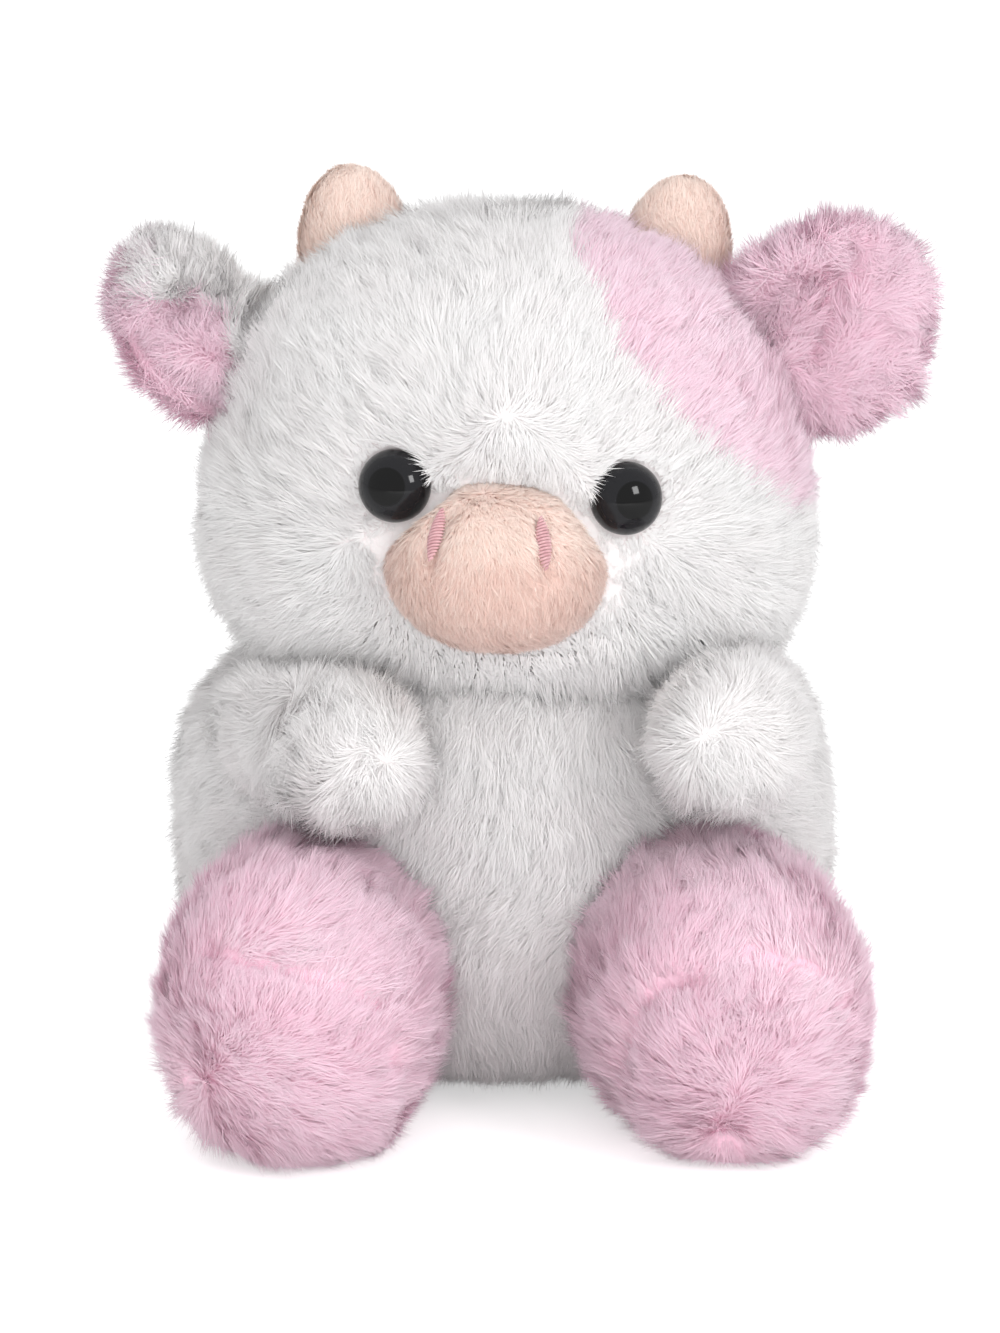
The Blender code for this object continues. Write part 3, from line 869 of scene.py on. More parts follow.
def strand_group() -> bpy.types.NodeTree:
    """Colour along a strand: a painted shade at the root that lightens to the tip by the along
    number, then deeper by the tone number.

    Returns:
        The group, which puts out Color.
    """
    takes = {"Root": (0.6, 0.6, 0.6), "Tip": (0.9, 0.9, 0.9), "Deep": (0.7, 0.7, 0.7), "Depth": 0.5}
    tree = new_group("strand_shade", takes, {"Color": "NodeSocketColor"})
    into, out = tree.nodes["in"].outputs, tree.nodes["out"].inputs
    length = tree.nodes.new("ShaderNodeAttribute")
    length.attribute_name = "along"
    tone = tree.nodes.new("ShaderNodeAttribute")
    tone.attribute_name = "tone"
    # The root colour is painted shade: it stands for the light lost down in the pile.
    curve = maths(tree, "POWER", 0, 0.8)
    amount = maths(tree, "MULTIPLY")
    blend, deepen = mix_node(tree), mix_node(tree)
    wire(
        tree,
        (length.outputs["Fac"], curve.inputs[0]),
        (curve.outputs[0], blend.inputs["Factor"]),
        (into["Root"], blend.inputs["A"]),
        (into["Tip"], blend.inputs["B"]),
        (tone.outputs["Fac"], amount.inputs[0]),
        (into["Depth"], amount.inputs[1]),
        (amount.outputs[0], deepen.inputs["Factor"]),
        (blend.outputs["Result"], deepen.inputs["A"]),
        (into["Deep"], deepen.inputs["B"]),
        (deepen.outputs["Result"], out["Color"]),
    )
    return tree


def knit_group() -> bpy.types.NodeTree:
    """Knitted backing: fine stitches from small cells, mixed with worn patches from noise.

    Returns:
        The group, which puts out Color and Height.
    """
    takes = {"Light": (0.9, 0.9, 0.9), "Dark": (0.7, 0.7, 0.7), "Scale": 900.0}
    gives = {"Color": "NodeSocketColor", "Height": "NodeSocketFloat"}
    tree = new_group("knit_backing", takes, gives)
    into, out = tree.nodes["in"].outputs, tree.nodes["out"].inputs
    place = tree.nodes.new("ShaderNodeTexCoord")
    stitch = tree.nodes.new("ShaderNodeTexVoronoi")
    patches = tree.nodes.new("ShaderNodeTexNoise")
    settle(patches, {"Scale": 140, "Detail": 4})
    shade = maths(tree, "MULTIPLY_ADD", 0, 0.6, 0.2)
    lift = maths(tree, "MULTIPLY_ADD", 0, 1.6, 0.2)
    total = maths(tree, "MULTIPLY")
    total.use_clamp = True
    blend = mix_node(tree)
    wire(
        tree,
        (place.outputs["Object"], stitch.inputs["Vector"]),
        (place.outputs["Object"], patches.inputs["Vector"]),
        (into["Scale"], stitch.inputs["Scale"]),
        (stitch.outputs["Distance"], shade.inputs[0]),
        (shade.outputs[0], total.inputs[0]),
        (patches.outputs["Fac"], lift.inputs[0]),
        (lift.outputs[0], total.inputs[1]),
        (total.outputs[0], blend.inputs["Factor"]),
        (into["Light"], blend.inputs["A"]),
        (into["Dark"], blend.inputs["B"]),
        (blend.outputs["Result"], out["Color"]),
        (stitch.outputs["Distance"], out["Height"]),
    )
    return tree


def new_material(name: str) -> tuple[bpy.types.Material, bpy.types.NodeTree, bpy.types.Node]:
    """A material, its tree and its Principled shader.

    Args:
        name: of the material.

    Returns:
        The material, its tree and its shader.
    """
    made = bpy.data.materials.new(name)
    made.use_nodes = True
    return made, made.node_tree, made.node_tree.nodes["Principled BSDF"]


def place_group(
    tree: bpy.types.NodeTree, group: bpy.types.NodeTree, values: dict[str, object]
) -> bpy.types.Node:
    """A group in a material, with its own values.

    Args:
        tree: of the material.
        group: to place.
        values: of its inputs, by their names.

    Returns:
        The node.
    """
    node = tree.nodes.new("ShaderNodeGroup")
    node.node_tree = group
    settle(node, values)
    return node


def knitted(
    name: str,
    group: bpy.types.NodeTree,
    values: dict[str, object],
    bump: dict[str, float],
    surface: dict[str, float],
) -> bpy.types.Material:
    """A material of the knit, with its height as a bump.

    Args:
        name: of the material.
        group: the knit.
        values: its inputs.
        bump: the bump's inputs.
        surface: the shader's inputs.

    Returns:
        The material.
    """
    made, tree, shader = new_material(name)
    node = place_group(tree, group, values)
    raised = tree.nodes.new("ShaderNodeBump")
    settle(raised, bump)
    settle(shader, surface)
    wire(
        tree,
        (node.outputs["Color"], shader.inputs["Base Color"]),
        (node.outputs["Height"], raised.inputs["Height"]),
        (raised.outputs["Normal"], shader.inputs["Normal"]),
    )
    return made


@dataclass(frozen=True)
class PileFinish:
    """A pile's colours from a painted shade at the root to the tip, and the deep shade of darker
    locks.
    """

    name: str
    slot: Slot
    root: Colour
    tip: Colour
    deep: Colour
    depth: float = 0.5
    scatter: float = 0.3
    sheen: float = 0.25
    roughness: float = 0.75

    def strands(self, group: bpy.types.NodeTree) -> bpy.types.Material:
        """The material of the pile itself, whose strands shade by their faces from behind.

        Args:
            group: the shade along a strand.

        Returns:
            The material.
        """
        made, tree, shader = new_material(f"{self.name}_pile")
        values = {"Root": self.root, "Tip": self.tip, "Deep": self.deep, "Depth": self.depth}
        node = place_group(tree, group, values)
        surface = tree.nodes.new("ShaderNodeNewGeometry")
        facing = mix_node(tree, "VECTOR")
        settle(
            shader,
            {
                "Roughness": self.roughness,
                "Sheen Weight": self.sheen,
                "Sheen Roughness": 0.5,
                "Specular IOR Level": 0.25,
                "Subsurface Weight": self.scatter,
                "Subsurface Radius": (1.0, 1.0, 1.0),
                "Subsurface Scale": 0.0010,
            },
        )
        wire(
            tree,
            (node.outputs["Color"], shader.inputs["Base Color"]),
            (surface.outputs["Backfacing"], facing.inputs["Factor"]),
            (surface.outputs["Normal"], facing.inputs[4]),
            (surface.outputs["True Normal"], facing.inputs[5]),
            (facing.outputs[1], shader.inputs["Normal"]),
        )
        return made

    def backing(self, group: bpy.types.NodeTree) -> bpy.types.Material:
        """The knitted cloth under the pile, painted deeper as the shade between the strands.

        Args:
            group: the knit.

        Returns:
            The material.
        """
        # 0.94 paints the shade that falls on the cloth down between the strands.
        light, dark = (tuple(0.94 * part for part in tint) for tint in (self.root, self.deep))
        values = {"Light": light, "Dark": dark}
        bump = {"Strength": 0.35, "Distance": 0.0003}
        surface = {"Roughness": 0.9, "Sheen Weight": self.sheen}
        return knitted(f"{self.name}_backing", group, values, bump, surface)


@dataclass(frozen=True)
class FibreFinish:
    """Loose filling: tangled fibres between two colours."""

    name: str
    light: Colour
    dark: Colour
    scale: float

    def material(self, group: bpy.types.NodeTree) -> bpy.types.Material:
        """The material of the filling.

        Args:
            group: the knit.

        Returns:
            The material.
        """
        values = {"Light": self.light, "Dark": self.dark, "Scale": self.scale}
        return knitted(self.name, group, values, {"Distance": 0.0008}, {"Roughness": 0.95})


@dataclass(frozen=True)
class EyeFinish:
    """Domed eye: a black pupil in a charcoal ring under clear gloss, by distance from the axis."""

    name: str = "eye_dome"
    pupil: Colour = (0.0008, 0.0008, 0.0009)
    ring: Colour = (0.010, 0.010, 0.012)
    rim: Colour = (0.003, 0.003, 0.0035)
    pupil_share: float = 0.50

    def material(self) -> bpy.types.Material:
        """The material, from the across number at the eye's points.

        Returns:
            The material.
        """
        made, tree, shader = new_material(self.name)
        across = tree.nodes.new("ShaderNodeAttribute")
        across.attribute_name = "across"
        colours = tree.nodes.new("ShaderNodeValToRGB")
        stops = colours.color_ramp.elements
        stops[0].position, stops[0].color = self.pupil_share, (*self.pupil, 1)
        stops[1].position, stops[1].color = 1.0, (*self.rim, 1)
        for position, colour in ((self.pupil_share + 0.04, self.ring), (0.86, self.ring)):
            stop = stops.new(position)
            stop.color = (*colour, 1)
        wire(
            tree,
            (across.outputs["Fac"], colours.inputs["Fac"]),
            (colours.outputs["Color"], shader.inputs["Base Color"]),
        )
        settle(shader, {"Roughness": 0.08, "IOR": 1.5, "Specular IOR Level": 0.32})
        return made


@dataclass(frozen=True)
class PlainFinish:
    """Moulded plastic or thread: one colour with faint cloudy wear in colour and gloss, and on
    thread painted satin highlights.
    """

    name: str
    colour: Colour
    wear_and_highlight: Colour
    roughness: float
    scale: float = 300.0
    sheen: float = 0.0

    def material(self) -> bpy.types.Material:
        """The material, from noise on Object coordinates.

        Returns:
            The material.
        """
        made, tree, shader = new_material(self.name)
        cloud, blend = clouds(tree, self.scale, 5, (self.colour, self.wear_and_highlight))
        gloss = maths(tree, "MULTIPLY_ADD", 0, 0.2, self.roughness - 0.1)
        wire(
            tree,
            (cloud.outputs["Fac"], gloss.inputs[0]),
            (blend.outputs["Result"], shader.inputs["Base Color"]),
            (gloss.outputs[0], shader.inputs["Roughness"]),
        )
        settle(shader, {"Sheen Weight": self.sheen})
        return made


@dataclass
class Finishes:
    """Every material of the cow, made once."""

    # Each root colour is a painted shade of its tip, and each deep colour is tinted as the painted
    # shade in creases and hollows.
    white: PileFinish = PileFinish(
        "white", Slot.WHITE, (0.955, 0.94, 0.937), (0.975, 0.97, 0.967), (0.93, 0.85, 0.855), 0.45
    )
    pink: PileFinish = PileFinish(
        "pink", Slot.PINK, (0.975, 0.65, 0.77), (0.995, 0.84, 0.91), (0.97, 0.60, 0.735), 0.5
    )
    peach: PileFinish = PileFinish(
        "peach", Slot.PEACH, (0.95, 0.70, 0.62), (0.995, 0.87, 0.79), (0.78, 0.51, 0.44), 0.7, 0.1
    )
    pile: dict[Slot, bpy.types.Material] = field(default_factory=dict)
    cloth: dict[Slot, bpy.types.Material] = field(default_factory=dict)
    plain: dict[Slot, bpy.types.Material] = field(default_factory=dict)

    def build(self) -> None:
        """Makes the node groups and the materials."""
        strand, knit = strand_group(), knit_group()
        for finish in (self.white, self.pink, self.peach):
            self.pile[finish.slot] = finish.strands(strand)
            self.cloth[finish.slot] = finish.backing(knit)
        fibre = FibreFinish("polyester_fibre", (0.90, 0.90, 0.88), (0.72, 0.72, 0.70), 500.0)
        beads = FibreFinish("pellet_cloth", (0.85, 0.84, 0.80), (0.60, 0.58, 0.55), 300.0)
        washer = PlainFinish("washer_plastic", (0.86, 0.86, 0.84), (0.78, 0.78, 0.76), 0.45)
        # The thread's second, pale colour is painted satin highlight.
        thread = PlainFinish(
            "rose_thread", (0.42, 0.16, 0.19), (0.84, 0.55, 0.57), 0.45, 900.0, sheen=0.2
        )
        self.plain[Slot.FILLING] = fibre.material(knit)
        self.plain[Slot.PELLETS] = beads.material(knit)
        self.plain[Slot.EYE] = EyeFinish().material()
        self.plain[Slot.WASHER] = washer.material()
        self.plain[Slot.THREAD] = thread.material()


def dress(
    item: bpy.types.Object,
    body: str,
    material: bpy.types.Material,
    replaced: Sequence[str] = (),
) -> bpy.types.Object:
    """Gives a piece its finish and its place in the frame, and reports it.

    Args:
        item: the piece.
        body: the CAD body that it rides on.
        material: its material.
        replaced: the CAD nodes that it stands for.

    Returns:
        The piece.
    """
    item.data.materials.append(material)
    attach(item, body)
    if replaced:
        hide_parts(*replaced)
    LOG.info("%s rides on %s with %d faces", item.name, body, len(item.data.polygons))
    return item


@dataclass
class Furrier:
    """Turns pelts into pieces: the stuffed backing, and the pile on it."""

    finishes: Finishes
    columns: int = 72
    rows: int = 49

    def backing(
        self,
        name: str,
        pelt: Pelt,
        body: str,
        slot: Slot,
        replaced: Sequence[str],
        shape: Field | None = None,
        inset: float = -0.0008,
    ) -> bpy.types.Object:
        """The stuffed cloth form under a pile.

        Args:
            name: of the piece.
            pelt: its form and place.
            body: what it rides on.
            slot: its finish.
            replaced: the CAD nodes that it stands for.
            shape: an outward move in metres at places on the form, added to the relief.
            inset: how far it lies inside the pelt.

        Returns:
            The piece.
        """
        around = np.linspace(-math.pi, math.pi, self.columns, endpoint=False)
        tilt = np.linspace(-math.pi / 2, math.pi / 2, self.rows)
        spots = pelt.form.spots(*np.meshgrid(around, tilt))
        moved, normals = pelt.raised(spots)
        shift = -inset if shape is None else shape(spots)[..., None] - inset
        grid = pelt.outside(moved + normals * shift)
        grid[..., 2] = np.maximum(grid[..., 2], 0.0)
        item = closed_surface(name, grid)
        return dress(item, body, self.finishes.cloth[slot], replaced)

    def pile(
        self, name: str, pelt: Pelt, coat: Coat, combing: Combing, body: str, slot: Slot
    ) -> list[bpy.types.Object]:
        """The pile on a pelt, in as many pieces as its triangles need.

        Args:
            name: of the piece, or of its first part.
            pelt: what it grows on.
            coat: its sizes.
            combing: how it lies.
            body: what it rides on.
            slot: its finish.

        Returns:
            The pieces, which part the pile from the cow's left to its right.
        """
        strands = grow(pelt, coat, combing)
        each = 2 * coat.rows - 1
        parts = max(1, math.ceil(strands.count * each / PIECE_TRIANGLES))
        order = np.argsort(strands.line[:, 0, 0])
        made = []
        for number, chosen in enumerate(np.array_split(order, parts)):
            label = name if parts == 1 else f"{name}_{number + 1}"
            item = weave(label, strands.chosen(chosen))
            made.append(dress(item, body, self.finishes.pile[slot]))
        return made


# ---- Sub-assemblies ----


@dataclass
class TorsoParts:
    """The body that the cow sits on."""

    half_width: float = 0.0655
    half_depth: float = 0.052
    widest_height: float = 0.052
    rise: float = 0.040
    blunt_above: float = 3.2
    blunt_below: float = 2.6
    floor_cut: float = 0.0005
    seat_panel_height: float = 0.007
    coat: Coat = Coat(
        density=9.0e6, length=0.0082, height=0.0050, width=0.00025, lock=0.0025, gather=0.5,
        stray=0.75, seed=3,
    )

    def pelt(self) -> Pelt:
        """The torso's form in its place.

        Returns:
            The pelt.
        """
        drop = self.widest_height + self.floor_cut
        form = SoftForm(
            self.half_width, self.half_depth, self.rise, drop, self.blunt_above, self.blunt_below
        )
        return Pelt(form, as_array(lifted(0, 0, self.widest_height)))

    def build(self, furrier: Furrier, covers: Sequence[Pelt]) -> None:
        """Makes the backing, the seat panel and the pile.

        Args:
            furrier: makes the pieces.
            covers: the forms that hide some of the torso.
        """
        pelt = self.pelt()
        seam = self.seat_panel_height - self.widest_height

        def above(spots: Array) -> Array:
            """Draws the seat panel's part in, out of its way."""
            return -0.0008 * ramp(-spots[..., 2], -seam - 0.001, -seam + 0.001)

        def below(spots: Array) -> Array:
            """Draws all but the seat panel in, under the torso's skin."""
            return -0.0016 * ramp(spots[..., 2], seam - 0.001, seam + 0.001)

        furrier.backing("torso_backing", pelt, "torso", Slot.WHITE, ["torso_skin"], above)
        furrier.backing("seat_panel_cloth", pelt, "torso", Slot.WHITE, ["seat_panel"], below)

        def keep(spots: Array) -> Array:
            """Leaves out what the head, arms and legs hide, and what lies on the floor.

            Args:
                spots: in the world, (count, 3).

            Returns:
                A mask, (count,).
            """
            seen = spots[:, 2] > FLOOR_GAP
            for cover in covers:
                seen &= ~cover.covers(spots, -0.004)
            return seen

        def flow(spots: Array) -> Array:
            """Down in the middle, and outwards on the sides.

            Args:
                spots: in the world, (count, 3).

            Returns:
                The directions, (count, 3).
            """
            down = np.broadcast_to(WORLD_DOWN, spots.shape).copy()
            side = ramp(np.abs(spots[:, 0]), 0.026, 0.052)
            down[:, 0] += 1.3 * side * np.sign(spots[:, 0]) - 0.15
            down[:, 2] += 0.4 * side
            return down

        def fluff(spots: Array) -> Array:
            """The pile stands up under the chin and closes the neck's groove."""
            return 0.0048 * bell(spots[..., 2] - 0.035, 0.007) * ramp(-spots[..., 1], 0.012, 0.03)

        def tone(spots: Array) -> Array:
            """Painted warm shade low down, between the pink feet, as their pink light on the fur.
            """
            return 0.7 * ramp(-spots[:, 2], -0.060, -0.020) - 0.05

        full = Pelt(pelt.form, pelt.place, fluff)
        combing = Combing(flow, keep, tone=tone)
        furrier.pile("torso_pile", full, self.coat, combing, "torso", Slot.WHITE)


@dataclass
class HeadParts:
    """The head, its pink panel, muzzle, eyes, nostrils and horns."""

    neck: tuple[float, float, float] = (-0.0008, -0.002, 0.090)
    roll: float = math.radians(3.2)
    above_neck: float = 0.023
    forward: float = 0.004
    half_width: float = 0.0605
    half_depth: float = 0.046
    rise: float = 0.065
    drop: float = 0.025
    blunt_above: float = 2.3
    blunt_below: float = 3.0
    patch_half_width: float = 0.057
    patch_half_depth: float = 0.050
    patch_place: tuple[float, float, float] = (0.061, -0.009, 0.089)
    muzzle_half_width: float = 0.0215
    muzzle_half_depth: float = 0.0205
    muzzle_half_height: float = 0.0164
    muzzle_blunt: float = 2.2
    muzzle_sink: float = 0.0018
    muzzle_up: float = math.radians(2)
    muzzle_around: float = math.radians(-2)
    muzzle_turn: float = math.radians(5)
    nostril_length: float = 0.0112
    nostril_width: float = 0.0033
    nostril_arounds: tuple[float, float] = (math.radians(33), math.radians(36))
    nostril_up: float = math.radians(29)
    nostril_tilts: tuple[float, float] = (math.radians(-6), math.radians(15))
    eye_radius: float = 0.0074
    eye_dome: float = 0.0060
    eye_rim: float = 0.0012
    eye_around: float = math.radians(23)
    eye_up: float = math.radians(13)
    shank_radius: float = 0.0020
    shank_length: float = 0.0063
    horn_half_width: float = 0.0115
    horn_half_depth: float = 0.0105
    horn_rise: float = 0.022
    horn_drop: float = 0.014
    horn_sink: float = 0.004
    horn_spacing: float = 0.0645
    horns_aside: float = -0.0012
    horn_behind: float = 0.012
    horn_lean: float = math.radians(8)
    white_tone: float = -0.2
    panel_tone: float = -0.36
    # The horns' peach is painted paler, as painted light that brightens them.
    horn_tone: float = -0.35
    mask: tuple[tuple[float, float], ...] = (
        (-0.0005, 0.028),
        (-0.0287, 0.0034),
        (-0.015, -0.012),
        (0.015, -0.012),
        (0.027, 0.0048),
        (-0.0005, 0.028),
    )
    edge_heights: tuple[float, ...] = (0.028, 0.036, 0.044, 0.053, 0.064)
    edge_shifts: tuple[float, ...] = (0.0, -0.001, -0.0015, 0.002, 0.0042)
    # Each crease's last number, where given, is the painted shade in it.
    muzzle_creases: tuple[Crease, ...] = (
        Crease(((-4.1, -9.3, 15.3),), 0.35, 1.3, 0.1),
        Crease(((2.0, -17.5, -8.5), (2.2, -10.1, -15.4)), 0.6, 0.8, 0.15),
        Crease(((-9.4, -13.5, 12.5), (-11.6, -17.0, 3.5)), 1.3, 1.7, 0.2),
        Crease(((10.9, -13.0, 13.0), (11.6, -17.0, 3.0)), 1.3, 1.7, 0.2),
        Crease(((0.5, -20.0, 0.0),), -0.9, 9.0),
    )
    coat: Coat = Coat(
        density=10.5e6, length=0.0084, height=0.0046, width=0.00025, lock=0.0025, gather=0.5,
        seed=21,
    )
    patch_coat: Coat = Coat(
        density=10.5e6, length=0.0078, height=0.0042, width=0.00025, lock=0.0025, gather=0.5,
        seed=33,
    )
    short_coat: Coat = Coat(
        density=19e6, length=0.0034, height=0.0013, width=0.00024, lock=0.0011, gather=0.4,
        stray=0.8, roll=0.6, base=0.0004, seed=41, speckle=0.32,
    )

    @property
    def frame(self) -> Matrix:
        """The head's own frame in the world."""
        lean = Matrix.Rotation(self.roll, 4, "Y")
        return lifted(*self.neck) @ lean @ lifted(0, -self.forward, self.above_neck)

    def form(self) -> SoftForm:
        """The head's form.

        Returns:
            The form.
        """
        return SoftForm(
            self.half_width,
            self.half_depth,
            self.rise,
            self.drop,
            self.blunt_above,
            self.blunt_below,
        )

    def pelt(self) -> Pelt:
        """The head's form in its place."""
        return Pelt(self.form(), as_array(self.frame))

    def spot(self, around: float, up: float) -> Matrix:
        """A frame on the head's surface, with Z straight out of it.

        Args:
            around: its angle from -Y towards +X.
            up: its latitude.

        Returns:
            The frame.
        """
        form = self.form()
        place = form.spots(np.array(around), np.array(up))
        out = Vector(form.outward(place))
        return self.frame @ Matrix.Translation(place) @ along(out)

    def in_patch(self, spots: Array) -> Array:
        """Distance into the pink panel in metres, at world spots: above 0 is on the panel.

        Args:
            spots: in the world, (count, 3).

        Returns:
            The distance, (count,).
        """
        base = lifted(*self.neck) @ Matrix.Rotation(self.roll, 4, "Y")
        turn = as_array(base @ lifted(*self.patch_place))
        local = (spots - turn[:3, 3]) @ turn[:3, :3]
        wide, deep = self.patch_half_width, self.patch_half_depth
        share = np.sqrt(
            (local[..., 0] / wide) ** 2 + (local[..., 1] / deep) ** 2 + (local[..., 2] / wide) ** 2
        )
        return (1 - share) * wide

    def in_panel(self, spots: Array) -> Array:
        """Distance into the panel's pile: at the top its edge lies further in than the cloth's."""
        high = self.pelt().inside(spots)[..., 2]
        return self.in_patch(spots) - np.interp(high, self.edge_heights, self.edge_shifts)

    def muzzle_pelt(self) -> Pelt:
        """The muzzle's form in its place.

        Returns:
            The pelt, with its creases.
        """
        blunt = self.muzzle_blunt
        high = self.muzzle_half_height
        form = SoftForm(self.muzzle_half_width, self.muzzle_half_depth, high, high, blunt, blunt)
        spot = self.form().spots(np.array(self.muzzle_around), np.array(self.muzzle_up))
        centre = Vector(spot) + Vector((0, self.muzzle_sink, 0))
        turn = Matrix.Rotation(-self.muzzle_turn, 4, "Z")
        place = as_array(self.frame @ Matrix.Translation(centre) @ turn)
        creases = pulled(form, self.muzzle_creases)
        eyes = Pelt(form, place).inside(np.array(self.eye_spots()))

        def relief(spots: Array) -> Array:
            """The creases, and room for the rims of the eyes.

            Args:
                spots: in the form's frame, (..., 3).

            Returns:
                The move outwards, (...).
            """
            total = creases(spots)
            for eye in eyes:
                away = np.linalg.norm(spots - eye, axis=-1) - self.eye_radius
                total = total - 0.0045 * bell(np.maximum(away, 0), 0.0028)
            return total

        return Pelt(form, place, relief, self.muzzle_creases)

    def nostril_frame(self, side: Side) -> Array:
        """The frame of one nostril on the muzzle: X across the slit, Y along it and Z out.

        Args:
            side: which nostril.

        Returns:
            The frame, (4, 4).
        """
        muzzle = self.muzzle_pelt()
        number = 0 if side is Side.LEFT else 1
        around, up = side.value * self.nostril_arounds[number], self.nostril_up
        spot = muzzle.form.spots(np.array(around), np.array(up))
        moved, _ = muzzle.raised(spot)
        out = Vector(muzzle.form.outward(spot))
        stand = along(out) @ Matrix.Rotation(self.nostril_tilts[number], 4, "Z")
        return muzzle.place @ as_array(Matrix.Translation(moved) @ stand)

    def horn_pelt(self, side: Side) -> Pelt:
        """One horn's form in its place.

        Args:
            side: which horn.

        Returns:
            The pelt.
        """
        form = SoftForm(
            self.horn_half_width, self.horn_half_depth, self.horn_rise, self.horn_drop, 2.2, 2.0
        )
        across = side.value * self.horn_spacing / 2 + self.horns_aside
        share = math.hypot(across / self.half_width, self.horn_behind / self.half_depth)
        top = self.rise * (1 - share**self.blunt_above) ** (1 / self.blunt_above)
        lean = Matrix.Rotation(side.value * self.horn_lean, 4, "Y")
        place = self.frame @ lifted(across, self.horn_behind, top - self.horn_sink) @ lean
        return Pelt(form, as_array(place))

    def eye_gaps(self, spots: Array) -> list[Array]:
        """How far world spots lie outside the rim of each eye, and 0 inside it.

        Args:
            spots: in the world, (..., 3).

        Returns:
            One array (...) for each eye.
        """
        aways = [np.linalg.norm(spots - eye, axis=-1) for eye in self.eye_spots()]
        return [np.maximum(away - self.eye_radius, 0) for away in aways]

    def eye_spots(self) -> list[Array]:
        """The middles of the two eyes on the head's surface."""
        frames = [self.spot(side.value * self.eye_around, self.eye_up) for side in Side]
        return [np.array(frame_of.translation) for frame_of in frames]

    def build(self, furrier: Furrier) -> None:
        """Makes every piece of the head but its ears.

        Args:
            furrier: makes the pieces.
        """
        self.build_skins(furrier)
        self.build_muzzle(furrier)
        self.build_horns(furrier)
        for side in Side:
            self.build_eye(furrier, side)
            self.build_nostril(furrier, side)

    def build_skins(self, furrier: Furrier) -> None:
        """Makes the white skin, the pink panel and their piles.

        Args:
            furrier: makes the pieces.
        """
        pelt = self.pelt()
        muzzle = self.muzzle_pelt()
        horns = [self.horn_pelt(side) for side in Side]
        eyes = self.eye_spots()

        def sockets(spots: Array) -> Array:
            """Draws the skin in under the rims of the eyes.

            Args:
                spots: in the form's frame, (..., 3).

            Returns:
                The move outwards, (...).
            """
            total = np.zeros(spots.shape[:-1])
            for gap in self.eye_gaps(pelt.outside(spots)):
                total -= 0.0018 * bell(gap, 0.0015)
            return total

        def panel(spots: Array) -> Array:
            """Raises the pink panel over the white skin, and sinks the rest under it."""
            inside = ramp(self.in_panel(pelt.outside(spots)), -0.001, 0.001)
            return sockets(spots) - 0.0012 + 0.0016 * inside

        furrier.backing("head_backing", pelt, "head", Slot.WHITE, ["head_skin"], sockets)
        furrier.backing("head_patch_backing", pelt, "head", Slot.PINK, ["head_patch"], panel)

        def bare(spots: Array) -> Array:
            """Where something is sewn or fastened on, so no pile grows.

            Args:
                spots: in the world, (count, 3).

            Returns:
                A mask, (count,).
            """
            hidden = muzzle.covers(spots, 0.0)
            for horn in horns:
                hidden |= horn.covers(spots, 0.0)
            for eye in eyes:
                hidden |= np.linalg.norm(spots - eye, axis=-1) < self.eye_radius + 0.0004
            return hidden

        def brow(spots: Array) -> Array:
            """1 where the pile above the inner side of an eye hangs over its rim.

            Args:
                spots: in the world, (count, 3).

            Returns:
                The share, (count,).
            """
            total = np.zeros(len(spots))
            for side, eye in zip(Side, eyes):
                away = spots - eye
                far = np.linalg.norm(away, axis=-1)
                aim = unit(np.array((-side.value * 0.65, 0.0, 0.8)))
                facing = ramp((away @ aim) / far, 0.55, 0.95)
                total += facing * bell(np.maximum(far - self.eye_radius, 0), 0.0035)
            return total

        def shorter(spots: Array) -> Array:
            """Shorter beside the eyes and the muzzle, and longer on the brows.

            Args:
                spots: in the world, (count, 3).

            Returns:
                What multiplies the length, (count,).
            """
            scale = np.ones(len(spots))
            for gap in self.eye_gaps(spots):
                scale *= 1 - 0.72 * bell(gap, 0.0035)
            local = muzzle.inside(spots)
            rim = (muzzle.form.reach(local) - 1) * muzzle.form.half_width
            scale *= 1 - 0.72 * bell(np.maximum(rim, 0), 0.0045)
            over = brow(spots)
            return scale * (1 - over) + 0.8 * over

        def loft(spots: Array) -> Array:
            """Stands up on the brows, on the crown and under the chin.

            Args:
                spots: in the world, (count, 3).

            Returns:
                What multiplies the height, (count,).
            """
            local = pelt.inside(spots)
            crown = ramp(local[:, 2], 0.045, 0.062)
            chin = ramp(-local[:, 2], 0.008, 0.018)
            return 1 + 0.35 * brow(spots) + 0.15 * crown + 0.25 * chin

        def jowl(spots: Array) -> Array:
            """The pile is fuller under the muzzle, where it meets the torso's."""
            return 0.0034 * bell(spots[..., 2] + 0.018, 0.006) * ramp(-spots[..., 1], 0.008, 0.025)

        def flow(spots: Array) -> Array:
            """Outwards from a line through the bridge and round the muzzle, upright near it.

            Args:
                spots: in the world, (count, 3).

            Returns:
                The directions, (count, 3).
            """
            local = pelt.inside(spots)
            line = np.array([(x, -0.039, z) for x, z in self.mask])
            away = from_path(local, line) * np.array((1.0, 0.15, 1.0))
            start = ramp(np.linalg.norm(away, axis=-1), 0.0, 0.012)[:, None]
            total = start * unit(away) + 0.4 * (1 - start) * np.array((0.3, 0.0, -1.0))
            return pelt.turned(total + 0.25 * swells(local, 0.013, 60))

        def off_panel(spots: Array) -> Array:
            """The white strands' roots."""
            return (self.in_panel(spots) < 0) & ~bare(spots)

        def on_panel(spots: Array) -> Array:
            """The pink strands' roots."""
            return (self.in_panel(spots) > 0) & ~bare(spots)

